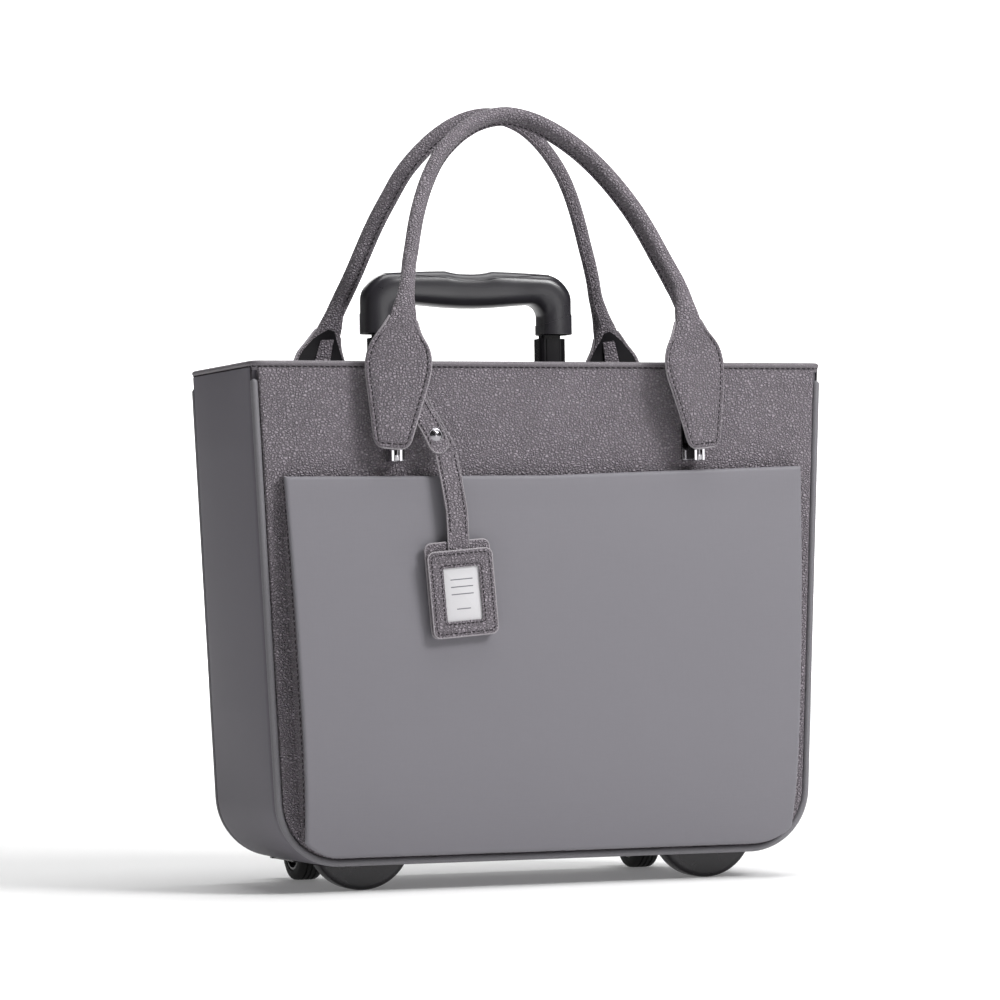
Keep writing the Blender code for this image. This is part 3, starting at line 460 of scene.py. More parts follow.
def papery(name, colour, scale, roughness=0.6, depth=0.01 * MM, tone=0.05):
    """Card or fibre board: short fibres in the surface."""
    made, tree, shader = finish(name, colour, roughness)
    fibre = noise(tree, place_in(tree, (1, 1, 3)), scale, 4)
    bumped(tree, shader, fibre, depth, 0.6)
    tinted(tree, shader, colour, fibre, tone)
    return made


PEBBLED = leather("pebbled_leather", (0.288, 0.254, 0.288))
RIM_LEATHER = leather("rim_leather", (0.150, 0.135, 0.150), 1.5 * MM, 0.15 * MM, crease_shade=0.3)
EDGE = leather("leather_edge", (0.310, 0.288, 0.308), 0.9 * MM, 0.08 * MM, 0.45, 0.15)
SMOOTH_LEATHER = leather("piping_leather", (0.172, 0.167, 0.181), 0.8 * MM, 0.05 * MM, crease_shade=0.15)
SATIN = weave("satin_cloth", (0.199, 0.192, 0.212), 0.42 * MM, 0.028 * MM, 0.46, sheen=0.02)
# a darker copy of the satin for the gusset: painted shade for the sides that face away from the key light
SHADED_SIDE_CLOTH = weave("shaded_side_cloth", (0.146, 0.137, 0.158), 0.42 * MM, 0.028 * MM, 0.5)
LINING_CLOTH = weave("lining_cloth", (0.055, 0.055, 0.062), 0.8 * MM, 0.09 * MM, 0.75, 0.1, 0.12)
# near-black sheet on the back of each leaf: painted shade inside the leaf's opening
LEAF_SHADE_CLOTH = weave("leaf_shade_sheet", (0.009, 0.008, 0.010), 0.6 * MM, 0.05 * MM, 0.6)
ZIP_TAPE = weave("zip_tape", (0.040, 0.040, 0.045), 1.1 * MM, 0.14 * MM, 0.8, tone=0.12)
THREAD = weave("thread", (0.034, 0.030, 0.034), 0.35 * MM, 0.05 * MM, 0.7)
BLACK_PLASTIC = moulded("black_plastic", (0.0102, 0.0084, 0.0114), 0.27)
SOFT_PLASTIC = moulded("soft_touch_plastic", (0.030, 0.028, 0.034), 0.30, coat=0.15)
RUBBER = moulded("tyre_rubber", (0.018, 0.018, 0.018), 0.72, 0.5 * MM, 0.05 * MM)
TUBE = moulded("black_tube", (0.008, 0.007, 0.009), 0.26, depth=0.004 * MM, specular=0.22)
POLISHED = metal("black_chrome", (0.42, 0.41, 0.43), 0.07)
SNAP = metal("snap_metal", (0.34, 0.33, 0.35), 0.2)
GUNMETAL = metal("gunmetal", (0.16, 0.155, 0.165), 0.10)
STEEL = metal("steel", (0.55, 0.55, 0.56), 0.28, stretch=(1, 1, 12))
CARD = papery("white_card", (0.602, 0.593, 0.611), 1500)
CARD_INK = papery("card_ink", (0.16, 0.16, 0.18), 1500)
BOARD = papery("fibre_board", (0.10, 0.08, 0.06), 700, 0.9, 0.08 * MM, 0.35)


# ---------------------------------------------------------------- flat sheets with a shaped face
EDGE_STEPS = np.array((0, 0.3, 0.9, 1.8, 3.0, 4.6)) * MM


def sheet_grid(half_at, bottom, top_at, rows, columns, steps=EDGE_STEPS, ease=1.5):
    """Points (x, z) of a sheet, with its distance to the nearest edge, close together at its edges."""
    xs, zs, edges = [], [], []
    shares = np.linspace(-1, 1, columns + 1)[1:-1]
    middle = np.linspace(0, 1, rows + 1)[1:-1] ** ease
    height = top_at(0) - bottom
    for rise in np.concatenate([steps, steps[-1] + (height - 2 * steps[-1]) * middle, height - steps[::-1]]):
        half = half_at(bottom + rise)
        x = np.concatenate([-half + steps, (half - steps[-1]) * shares, half - steps[::-1]])
        top = np.array([top_at(v) for v in x])
        xs.append(x)
        zs.append(bottom + (top - bottom) * rise / height)
        edges.append(np.minimum(half - np.abs(x), min(rise, height - rise)))
    return np.array(xs), np.array(zs), np.array(edges)


def rolled_off(edge, radius):
    """How far a rounded edge falls away at a distance from it."""
    inside = np.clip(radius - edge, 0, radius)
    return radius - np.sqrt(np.maximum(radius ** 2 - inside ** 2, 0))


def sheet(name, xs, zs, face, back, look, turn=None):
    """A closed sheet between two faces, given as Y values over a grid of x and z."""
    rows, columns = xs.shape
    points = np.vstack([np.stack([xs, y, zs], axis=-1).reshape(-1, 3) for y in (face, back)])
    if turn is not None:
        points = turn(points)
    count, faces = rows * columns, []
    for r in range(rows - 1):
        for c in range(columns - 1):
            a = r * columns + c
            faces.append((a, a + 1, a + columns + 1, a + columns))
            faces.append((count + a, count + a + columns, count + a + columns + 1, count + a + 1))
    border = [(0, c) for c in range(columns)] + [(r, columns - 1) for r in range(1, rows)]
    border += [(rows - 1, c) for c in range(columns - 2, -1, -1)] + [(r, 0) for r in range(rows - 2, 0, -1)]
    ring = [r * columns + c for r, c in border]
    faces += [(a, a + count, b + count, b) for a, b in zip(ring, ring[1:] + ring[:1])]
    return mesh_piece(name, points, faces, look, sharp=60)


# ---------------------------------------------------------------- camera and studio
def camera():
    """The main view: low, from the front left, with a long lens."""
    azimuth, elevation, roll = radians(-20.265), radians(-1.2325), radians(-0.83)
    data = bpy.data.cameras.new("camera")
    data.lens, data.sensor_width = 158.07, 36
    data.clip_start, data.clip_end = 0.05, 40
    made = linked("camera", data)
    turn = Matrix.Rotation(azimuth, 4, "Z") @ Matrix.Rotation(pi / 2 - elevation, 4, "X")
    stand = Matrix.Translation((-1.0744, -2.8941 + MID_Y, 0.2002))
    made.matrix_world = stand @ turn @ Matrix.Rotation(roll, 4, "Z")
    bpy.context.scene.camera = made


def area_light(name, stand, target, size, power):
    data = bpy.data.lights.new(name, "AREA")
    data.shape, data.size, data.size_y = "RECTANGLE", *size
    data.energy = power
    made = linked(name, data)
    made.location = stand
    made.rotation_euler = (Vector(target) - Vector(stand)).to_track_quat("-Z", "Y").to_euler()


def smooth_range(tree, value, start, end, low, high):
    """A value that eases from low to high as its source runs from start to end."""
    limits = (("From Min", start), ("From Max", end), ("To Min", low), ("To Max", high), ("Value", value))
    return node(tree, "MapRange", limits, interpolation_type="SMOOTHSTEP").outputs["Result"]


def studio():
    """A white floor that glows further out, a white screen behind, a dim room, and soft boxes."""
    white, tree, shader = finish("studio_white", (0.86, 0.86, 0.86), 0.9)
    behind = node(tree, "VectorMath", operation="DOT_PRODUCT", inputs=((1, (0.34, 0.94, 0)),))
    tree.links.new(place_in(tree), behind.inputs[0])
    glow = smooth_range(tree, behind.outputs["Value"], 0.5, 2.2, 0.14, 0.9)
    distance = node(tree, "VectorMath", operation="LENGTH")
    tree.links.new(place_in(tree), distance.inputs[0])
    far = smooth_range(tree, distance.outputs["Value"], 1.6, 4.5, 0.0, 0.9)
    shader.inputs["Emission Color"].default_value = (1, 1, 1, 1)
    tree.links.new(math(tree, "MAXIMUM", glow, far), shader.inputs["Emission Strength"])
    reach = 40
    corners = [(-reach, -reach, 0), (reach, -reach, 0), (reach, reach, 0), (-reach, reach, 0)]
    floor = mesh_piece("studio_floor", corners, [(0, 1, 2, 3)], white)
    screen_white, _, shader = finish("studio_screen", (0.9, 0.9, 0.9), 0.9)
    shader.inputs["Emission Color"].default_value = (1, 1, 1, 1)
    shader.inputs["Emission Strength"].default_value = 1.1
    radius, height, count = 6.5, 2.4, 13
    turns = np.radians(np.linspace(48, 92, count))
    points = [(radius * cos(a), radius * sin(a), z) for z in (0, height) for a in turns]
    faces = [(k, k + 1, count + 1 + k, count + k) for k in range(count - 1)]
    mesh_piece("studio_screen", points, faces, screen_white)
    world = bpy.data.worlds.new("room")
    world.use_nodes = True
    background = world.node_tree.nodes["Background"].inputs
    background["Color"].default_value = (1, 1, 1, 1)
    background["Strength"].default_value = 0.03
    bpy.context.scene.world = world
    area_light("key", (1.75, -2.35, 2.35), (0, 0, 0.25), (1.2, 1.2), 98)
    area_light("top", (0.3, -0.2, 2.5), (0.05, -0.1, 0), (2.0, 1.8), 52)
    area_light("front_card", (1.15, -3.2, 0.42), (0, 0, 0.28), (0.8, 0.9), 6)
    area_light("left_rim", (-2.8, 0.8, 1.1), (0, 0, 0.30), (0.4, 1.4), 1.5)
    area_light("back", (0.6, 3.0, 1.8), (0, 0, 0.3), (1.6, 1.2), 20)
    bpy.context.scene.view_settings.view_transform = "Standard"


# ---------------------------------------------------------------- bag shell
LINED_Z = 0.22                               # the height that the bag's inner faces look towards
EDGE_ROUND = 2.2 * MM
TOP_ROUND = 0.6 * MM
CROWN = 0.8 * MM


def wheel_wells(piece):
    """Room for the two wheel housings."""
    for side in ("left", "right"):
        low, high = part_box("wheel_housing_" + side)
        carved(piece, (low.x - GAP, low.y - GAP, BASE_Z - 0.03), (high.x + GAP, high.y + 0.02, high.z + GAP))
    return piece


def lined(piece):
    """Lining on the faces of a wall that look into the bag."""
    piece.data.materials.append(LINING_CLOTH)
    for face in piece.data.polygons:
        normal, inward = face.normal.copy(), Vector((0, MID_Y, LINED_Z)) - face.center
        if abs(normal.y) > 0.5:
            normal.x = normal.z = inward.x = inward.z = 0
        else:
            normal.y = inward.y = 0
        if normal.dot(inward) > 0.5 * inward.length:
            face.material_index = 1
    return piece


def crowned_panel(name, facing, look):
    """A front or rear panel, its face slightly full and its edges turned back to the piping."""
    base_y = FRONT_Y if facing < 0 else REAR_Y
    bottom = BASE_Z + PANEL_INSET
    xs, zs, edge = sheet_grid(lambda z: row_half(z, PANEL_INSET), bottom, lambda x: FACE_TOP, 44, 44)
    top_side = row_half(FACE_TOP, PANEL_INSET) - np.abs(xs)
    side_edge = np.maximum(edge, np.where(zs > FACE_TOP - 5 * MM, top_side, 0))
    up = (zs - bottom) / (PANEL_TOP - bottom)
    full = CROWN * (1 - (xs / RIM_HALF) ** 2) * np.clip(1.4 * np.sin(pi * np.clip(up, 0, 1)), 0, 1)
    fall = np.maximum(rolled_off(side_edge, EDGE_ROUND), rolled_off(FACE_TOP - zs, TOP_ROUND))
    face = base_y + facing * (full - fall)
    return lined(sheet(name, xs, zs, face, np.full_like(xs, base_y - facing * WALL), look))


def gusset():
    """One strip round both sides and the underside, its long edges rolled in to the piping, in the darker
    copy of the satin that paints the sides' shade.
    """
    path, outward = outline(0, FACE_TOP, 5 * MM)
    reach = HALF_DEPTH - 2 * PIPING_R - 0.2 * MM
    roll, drop = 5 * MM, 2.4 * MM
    turn_in = roll * (1 - np.cos(np.linspace(0, pi / 2, 7)))
    flat = np.linspace(-reach + roll, reach - roll, 12)[1:-1]
    ys = np.concatenate([-reach + turn_in, flat, reach - turn_in[::-1]])
    near = np.clip(1 - (reach - np.abs(ys)) / roll, 0, 1)
    fall = drop * (1 - np.sqrt(1 - near ** 2))
    above, below = (path[:, 1] - CORNER_Z) / 0.06, (FACE_TOP - path[:, 1]) / 0.05
    straight = np.clip(above, 0, 1) * np.clip(below, 0, 1) ** 0.7
    full = (0.4 + 2.2 * straight[:, None]) * MM * (1 - (ys[None] / reach) ** 2)
    inner_ys = np.linspace(HALF_DEPTH - WALL - GAP, -(HALF_DEPTH - WALL - GAP), 6)
    rings = []
    for point, way, offset in zip(path, outward, full - fall[None]):
        face, back = point + way * offset[:, None], point - way * WALL
        rings.append(np.vstack([line_of(face[:, 0], MID_Y + ys, face[:, 1]),
                                line_of(back[0], MID_Y + inner_ys, back[1])]))
    strip = loft("bag_gusset", rings, SHADED_SIDE_CLOTH, sharp=60)
    place(lined(wheel_wells(strip)), "bag", "satin_shell", "gusset")


def shell():
    place(crowned_panel("bag_front_leather", -1, PEBBLED), "bag", "grained_leather", "front_panel")
    rear = wheel_wells(crowned_panel("bag_rear_cloth", 1, SATIN))
    place(rear, "bag", "satin_shell", "rear_panel")
    gusset()


def piping():
    """Round cord covered in smooth leather, with a thin dark cord laid in the crease where it meets the
    gusset as painted shadow.
    """
    low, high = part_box("front_piping")
    out_y = MID_Y - (low.y + high.y) / 2
    start, shadow_r, past_wheels = 8.5 * MM, 0.8 * MM, 0.150
    path, _ = outline(PIPING_R, PANEL_TOP - start, 4 * MM)

    def cord(name, replaced, facing, keep):
        line = line_of(path[keep, 0], MID_Y + facing * out_y, path[keep, 1])
        made = sweep(name, line, (0, facing, 0), circle(PIPING_R), SMOOTH_LEATHER, dome=True)
        place(made, "bag", "satin_shell", replaced)

    cord("front_piping_cord", "front_piping", -1, np.full(len(path), True))
    crease_shade, _ = outline(1.5 * MM, FACE_TOP, 4 * MM)
    right, left = crease_shade[crease_shade[:, 0] > past_wheels], crease_shade[crease_shade[:, 0] < -past_wheels]
    # thin dark cords in the creases beside the piping: painted shadow of the crease
    for label, facing, part in (("front_piping_painted_shadow_0", -1, crease_shade), ("rear_piping_painted_shadow_0", 1, right),
                                ("rear_piping_painted_shadow_1", 1, left)):
        y = MID_Y + facing * (HALF_DEPTH - 2 * PIPING_R - 0.1 * MM)
        seam = sweep(label, line_of(part[:, 0], y, part[:, 1]), (0, facing, 0), circle(shadow_r, 8), THREAD)
        place(seam, "bag", "satin_shell")
    for label, side in (("left", -1), ("right", 1)):
        end_x = max(abs(v.x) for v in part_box("wheel_housing_" + label)) + GAP
        cord("rear_piping_cord_" + label, "rear_piping_" + label, 1, side * path[:, 0] > end_x)


def rim():
    """Leather folded over the rim, with a dark stitched groove under the fold."""
    half = WALL / 2
    flat = np.array(rounded(rim_box[1].x - half, HALF_DEPTH - half, 4 * MM, 6))
    flat = evened(np.vstack([flat, flat[:1]]), 5 * MM)[:-1]
    path = line_of(flat[:, 0], flat[:, 1] + MID_Y, RIM_Z)
    right = np.array([(-1.1, -6.4), (-1.0, -5.2), (-0.7, -4.4), (-0.65, -3.7), (-0.1, -3.3), (0.35, -2.7),
                      (0.4, -1.7), (0.0, -0.8), (-0.8, -0.2), (-1.7, 0.05)]) * MM + (half, 0)
    fold = sweep("rim_leather", path, (0, 0, 1), np.vstack([right, right[::-1] * (-1, 1)]), RIM_LEATHER,
                 closed=True)
    place(fold, "bag", "grained_leather", "rim_binding")
    across = directions(path, (0, 0, 1), closed=True)[1]
    groove = path + across * (half - 0.45 * MM) + np.array((0, 0, -4.05 * MM))
    stitches("rim_stitches", groove, across, "bag", "grained_leather", closed=True)


# ---------------------------------------------------------------- front pocket
POCKET_INSET = 16.5 * MM
POCKET_GAP = 0.7 * MM                        # from the pocket's edge to the piping
POCKET_BOTTOM = BASE_Z + PANEL_INSET + POCKET_GAP
POCKET_PROUD = FRONT_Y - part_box("pocket_panel")[0].y
POCKET_TOP = (281.5 * MM, 287.5 * MM)        # at its left, and where it rises to at its right
POCKET_PROUD_TOP = 8.5 * MM
POCKET_PROUD_LOW = 3 * MM
POCKET_FULL_Z = 0.120
POCKET_SKIN = 2.2 * MM
STRIP_THICK = 1.5 * MM
STRIP_WAVE = ((0.02, 0.54), (0.3, -0.3), (0.62, -0.42), (0.9, 0.0), (1.0, 0.3))    # share of depth, bow in mm


def pocket_top(x):
    share = max(0.0, x / half_width(POCKET_TOP[1], POCKET_INSET))
    return POCKET_TOP[0] + (POCKET_TOP[1] - POCKET_TOP[0]) * share


def pocket_half(z):
    """The pocket's sides run straight down until they meet the piping, and then follow it."""
    return min(half_width(z, POCKET_INSET), row_half(z, PANEL_INSET + POCKET_GAP))


def pocket_proud(z):
    """How far the pocket's face stands off the front panel, full low down and flatter at its mouth."""
    above = np.clip((z - POCKET_FULL_Z) / (POCKET_TOP[0] - POCKET_FULL_Z), 0, 1.1)
    below = np.clip((POCKET_FULL_Z - z) / (POCKET_FULL_Z - POCKET_BOTTOM), 0, 1)
    low = POCKET_PROUD_LOW + POCKET_SKIN
    return np.where(z > POCKET_FULL_Z, POCKET_PROUD - (POCKET_PROUD - POCKET_PROUD_TOP) * above ** 2,
                    low + (POCKET_PROUD - low) * (1 - below ** 2.6))


def pocket():
    """A full satin panel with a turned hem at its mouth, on a leather strip with a sewn edge."""
    xs, zs, edge = sheet_grid(pocket_half, POCKET_BOTTOM, pocket_top, 56, 44)
    from_top = np.vectorize(pocket_top)(xs) - zs
    hem_depth, hem_step, hem_rise, crown = 13 * MM, 1.2 * MM, 0.35 * MM, 0.9 * MM
    hem = hem_rise * np.clip((hem_depth - from_top) / hem_step, 0, 1)
    across = xs / np.maximum(np.vectorize(pocket_half)(zs), 0.01)
    proud = pocket_proud(zs) + crown * (1 - across ** 2) + hem
    face = FRONT_Y - proud + rolled_off(np.minimum(edge, from_top * 2.2), 2.0 * MM)
    back = FRONT_Y - (pocket_proud(zs) - POCKET_SKIN)
    panel = sheet("pocket_satin", xs, zs, face, back, SATIN)
    place(panel, "bag", "satin_shell", "pocket_panel")
    pocket_strip()


def pocket_strip():
    """The leather strip round the pocket's sides and bottom, slightly waved, with its stitches."""
    inset = 0.8 * MM
    heights = np.linspace(0, 1, 60) ** 1.6
    rows = []
    for side, order in ((1, heights[::-1]), (-1, heights)):
        for share in order:
            z = POCKET_BOTTOM + (POCKET_TOP[0] - POCKET_BOTTOM) * share
            x = side * (pocket_half(z) - inset)
            rows.append((x, POCKET_BOTTOM + (pocket_top(x) - POCKET_BOTTOM) * share + inset * (1 - share), z))
    rows = np.array(rows)
    path = rows[:, :2]
    along = unit(np.gradient(path, axis=0))
    outward = np.column_stack([-along[:, 1], along[:, 0]])
    deep = np.maximum(pocket_proud(rows[:, 2]) - POCKET_SKIN - 2 * GAP, 2.0 * MM)
    rings = []
    for side, wave in ((1, STRIP_WAVE), (-1, (STRIP_WAVE[4], *STRIP_WAVE[2::-1]))):
        for share, bow in wave:
            edge = path + outward * (side * STRIP_THICK / 2 + bow * MM)
            rings.append(line_of(edge[:, 0], FRONT_Y - GAP - (deep - GAP) * share, edge[:, 1]))
    strip = loft("pocket_leather_strip", np.stack(rings, axis=1), PEBBLED)
    place(strip, "bag", "grained_leather", "pocket_gusset")
    edge = path + outward * 0.9 * MM
    seam = line_of(edge[:, 0], FRONT_Y - deep * 0.84, edge[:, 1])
    face = unit(line_of(outward[:, 0], -0.25, outward[:, 1]))
    for label, side in (("right", 1), ("left", -1)):
        chosen = (rows[:, 2] > POCKET_BOTTOM + 0.02) & (side * path[:, 0] > 0)
        stitches("pocket_stitches_" + label, seam[chosen], face[chosen], "bag", "grained_leather")


# ---------------------------------------------------------------- tote handles
PIN_Z = 0.2958
BRACKET_X = 0.111
TAB_LEAN = radians(5.5)
TAB_LOW = 0.3001
TAB_OUT = HALF_DEPTH + 15.2 * MM             # middle of the leather, from the bag's middle plane
ROLL_START_Z = 0.4017
ROLL_FOOT_OUT = HALF_DEPTH + 12.5 * MM
ROLL_HALF = 0.1035
ROLL_R = 5.0 * MM
FLANGE_TIP = 9.8 * MM                        # the roll's sewn flange, from the roll's middle
FLANGE_HALF = 1.35 * MM
FLANGE_REACH = {"front": 1.0, "rear": 0.72}
NECK_LOW = 0.3745                            # heights between which the leaf closes into the roll
NECK_HIGH = 0.3985
ARCHES = {                                   # top; how far out the arch starts, its lean and its curl
    "front": (0.5388, 0.0861, 0.50, 0.45), "rear": (0.5415, 0.0745, 0.295, 0.0)}
LEAF = np.array((                            # half widths up the leaf-shaped tab and its neck
    (0.3001, 11.8), (0.3200, 15.7), (0.3400, 20.0), (0.3500, 22.0), (0.3570, 22.6), (0.3640, 22.0),
    (0.3700, 20.0), (0.3745, 17.2), (0.3790, 14.4), (0.3835, 12.2), (0.3880, 10.3), (0.3950, 8.3),
    (0.4030, 6.6), (0.4130, 5.4), (0.4250, 5.0)))
SWAY = {                                     # height; outward, rightward and inward shift of a handle, mm
    "front": ((0.300, 3.5, -1.0, 0.0), (0.340, 3.2, -1.2, 0.0), (0.376, 2.4, -2.2, 0.0),
              (0.398, 1.0, -1.0, 0.0), (0.417, -0.3, 0.8, 0.0), (0.440, -0.9, 1.8, 0.0),
              (0.470, 0.6, 2.1, 0.0), (0.505, 1.7, 1.8, 0.0), (0.540, 0.8, 2.4, 0.0)),
    "rear": ((0.300, 2.0, 0.0, 1.0), (0.340, 5.5, 0.6, 4.5), (0.364, 7.3, 0.8, 6.5), (0.382, 5.4, 1.4, 7.0),
             (0.391, 2.8, 1.6, 7.0), (0.400, 0.8, 1.2, 6.0), (0.408, -1.1, 0.8, 5.0),
             (0.416, -2.8, 0.0, 3.4), (0.433, -4.4, -0.9, 1.0), (0.450, -4.7, -0.9, 0.0),
             (0.467, -3.9, -0.6, 0.0), (0.484, -2.8, 0.0, 0.0), (0.500, -0.9, -0.3, 0.0),
             (0.542, 0.0, 0.0, 0.0))}
EDGE_PROFILE = np.array((                    # height of the leather's face at a distance from its edge, mm
    (0, 0.15), (0.15, 0.75), (0.5, 1.3), (1.0, 1.65), (1.5, 1.65), (2.0, 1.4), (2.4, 1.05), (2.8, 0.9),
    (3.3, 1.05), (4.2, 1.5), (6.0, 1.85), (10.0, 2.15), (22.0, 2.4)))
BACK_PROFILE = np.array(((0, 0.15), (0.4, 1.0), (1.2, 1.5)))
FRONT_ACROSS = np.concatenate([EDGE_PROFILE[:11, 0], [8.0]])        # mm in from each edge of the leaf
BACK_ANGLES = np.radians([192, 202, 208.3, 211, 214, 216.5, 217.2, 221, 225, 229, 232.8, 233.5, 236, 239,
                          241.7, 250, 262, 278, 296, 316, 338])
FLANGE_ANGLE = radians(225)
STITCH_IN = 2.8 * MM
LEAF_TWIST = radians(15)                     # each leaf turns out from the bag's middle
HANDLE_BODY = "%s_handle"


def leaf_half(z):
    """Half the tab's width at a height along it, with its lower corners rounded."""
    half = np.interp(z, *LEAF.T) * MM
    corner = 6 * MM
    near = np.clip(corner - (z - TAB_LOW), 0, corner)
    return half - corner + np.sqrt(np.maximum(corner ** 2 - near ** 2, 0))


def leaning(x, z):
    """A point of the upright tab, leaned in about its pin."""
    dx, dz = x - BRACKET_X, z - PIN_Z
    return (BRACKET_X + dx * cos(TAB_LEAN) - dz * sin(TAB_LEAN),
            PIN_Z + dx * sin(TAB_LEAN) + dz * cos(TAB_LEAN))


def swayed(path, end, facing):
    """The path as the hand left it: its limbs spread, leant to one side and towards the bag's middle."""
    heights, *shifts = np.array(SWAY[end]).T
    out, right, inward = (np.interp(path[:, 2], heights, shift) * MM for shift in shifts)
    return path + line_of(out * np.clip(path[:, 0] / 0.05, -1, 1) + right, -facing * inward, 0)


def handle_path(end):
    """A handle's middle line (x, out, z) from its right tab's tip to the top, and the height along it."""
    top, start, lean, curl = ARCHES[end]
    foot_z, clear_z = ROLL_START_Z - 12 * MM, 0.409
    rises = [0, 0.25, 0.6, 1.1, 1.6, 2.0, 2.4, 2.8, 3.3, 4.2, 5.6, *np.arange(8, 88, 2.6)]
    points = [(*leaning(BRACKET_X + 0.5 * MM, TAB_LOW + rise * MM), TAB_OUT) for rise in rises]

    def out_at(z):
        up = z - 0.390
        return start - lean * up - curl * up ** 2

    first = asin(((ROLL_START_Z - foot_z) / (top - foot_z)) ** 0.75)
    for turn in np.linspace(first, pi / 2, 61):
        z = foot_z + sin(turn) ** (2 / 1.5) * (top - foot_z)
        if z >= clear_z:
            x = ROLL_HALF * max(0.0, cos(turn)) ** (2 / 1.9)
            upright = 1 - eased(min(1.0, (z - ROLL_START_Z) / 0.035))
            points.append((x, z, out_at(z) + (ROLL_FOOT_OUT - out_at(ROLL_START_Z)) * upright))
    path = np.array(points)[:, [0, 2, 1]]
    fixed = len(rises) - 6
    path = np.vstack([path[:fixed], evened(path[fixed:], 3 * MM, smooth=6)])
    return path, TAB_LOW + run_along(path)


def handle_ring(half, height, flange):
    """One cross section of the handle as (outward, face) points: a leaf low down, a sewn roll above."""
    rise = (height - TAB_LOW) / MM
    right = half - FRONT_ACROSS * min(1.0, half / (8.5 * MM)) * MM
    front = np.concatenate([right, np.linspace(right[-1], -right[-1], 8)[1:-1], -right[::-1]])
    across = np.concatenate([front, half * np.cos(BACK_ANGLES)])
    edge = np.minimum((half - np.abs(across)) / MM, rise)
    deep = np.interp(edge, *EDGE_PROFILE.T) * MM
    deep[len(front):] = -np.interp(edge[len(front):], *BACK_PROFILE.T) * MM
    leaf = np.column_stack([across, deep])
    angles = np.concatenate([np.linspace(0, pi, len(front)), BACK_ANGLES])
    off = np.abs(angles - FLANGE_ANGLE)
    slab = np.where(off < radians(60), FLANGE_HALF / np.maximum(np.sin(off), 0.02), 0)
    wide = max(ROLL_R, min(half, 9 * MM))
    core = 1 / np.sqrt((np.cos(angles) / wide) ** 2 + (np.sin(angles) / ROLL_R) ** 2)
    reach = np.maximum(core, np.minimum(slab, ROLL_R + (FLANGE_TIP - ROLL_R) * flange))
    roll = np.column_stack([reach * np.cos(angles), reach * np.sin(angles)])
    share = eased(np.clip((height - NECK_LOW) / (NECK_HIGH - NECK_LOW), 0, 1))
    return leaf * (1 - share) + roll * share


class Handle:
    """A handle's path with, at each point, its directions, half width, height along it and flange."""

    def __init__(self, end, facing):
        path, heights = handle_path(end)
        heights = np.concatenate([heights, heights[-2::-1]])
        path = np.vstack([path, (path * (-1, 1, 1))[-2::-1]])
        path[:, 1] = MID_Y + facing * path[:, 1]
        path = swayed(path, end, facing)
        for _ in range(4):
            path[12:-12] = (path[11:-13] + 2 * path[12:-12] + path[13:-11]) / 4
        along = unit(np.gradient(path, axis=0))
        along[0], along[-1] = along[2], along[-3]
        outward = unit(np.cross(along, (0.0, -1.0, 0.0)))
        face = -facing * np.cross(outward, along)
        twist = LEAF_TWIST * np.clip((0.402 - heights) / 0.045, 0, 1)
        twist = (twist * np.where(path[:, 0] < 0, 1.0, 0.35))[:, None]
        self.outward = outward * np.cos(twist) - face * np.sin(twist)
        self.face = face * np.cos(twist) + outward * np.sin(twist)
        self.path, self.heights, self.halves = path, heights, leaf_half(heights)
        self.flange = np.sqrt(np.clip((heights - 0.3945) / 0.024, 0, 1)) * FLANGE_REACH[end]

    def section(self, k):
        return handle_ring(self.halves[k], self.heights[k], self.flange[k])

    def at(self, k, ring):
        """Places (outward, face) points in the plane across the path at one of its points."""
        return self.path[k] + self.outward[k] * ring[:, :1] + self.face[k] * ring[:, 1:]

    def leaf_rows(self, side, low, high):
        """The points of one leaf between two heights, from its tip up."""
        between = (self.heights > low) & (self.heights < high)
        return np.where(between & (side * self.path[:, 0] > 0))[0][::side]

    def leaf_edge(self, rows, inset, lift=0.0):
        """A line down one edge of a leaf, round its tip and up the other edge."""
        left, right = (self.path[rows] + self.outward[rows] * (sign * (self.halves[rows] - inset))[:, None]
                       + self.face[rows] * lift for sign in (-1, 1))
        return np.vstack([left[::-1], right])


def handle_leather(end, facing):
    """One piece of leather: a leaf-shaped tab at each end, rolled and sewn between them."""
    handle, body = Handle(end, facing), HANDLE_BODY % end
    rings = [handle.at(k, handle.section(k)) for k in range(len(handle.path))]
    piece = loft(end + "_handle_leather", rings, PEBBLED, sharp=70)
    place(piece, body, "grained_leather", body + "_roll", body + "_tab_left", body + "_tab_right")
    for label, side in (("right", 1), ("left", -1)):
        rows = handle.leaf_rows(side, TAB_LOW + STITCH_IN * 0.98, 0.3790)
        line = evened(handle.leaf_edge(rows, STITCH_IN, 0.95 * MM), 1 * MM, smooth=2)
        stitches("%s_tab_stitches_%s" % (body, label), line, handle.face[rows[0]], body, "grained_leather")
        bead = evened(handle.leaf_edge(handle.leaf_rows(side, 0, 0.3900), 0.5 * MM), 1.5 * MM, smooth=2)
        edge = sweep("%s_tab_edge_%s" % (body, label), bead, handle.face[rows[0]], circle(0.95 * MM, 8), EDGE,
                     dome=True)
        place(edge, body, "grained_leather")
        place(leaf_shade_sheet("%s_lining_%s" % (body, label), handle, side), body, "lining")
    most = handle.flange.max()
    rows = np.where(handle.flange > 0.9 * most)[0]
    axis = -(handle.outward + handle.face) / sqrt(2)
    flat = (handle.outward - handle.face) / sqrt(2)
    seam_out = ROLL_R + (FLANGE_TIP - ROLL_R) * most - 1.9 * MM
    for label, sign in (("outer", 1), ("inner", -1)):
        line = handle.path + axis * seam_out + flat * sign * (FLANGE_HALF + 0.1 * MM)
        name = "%s_roll_stitches_%s" % (body, label)
        stitches(name, line[rows], flat[rows] * sign, body, "grained_leather")


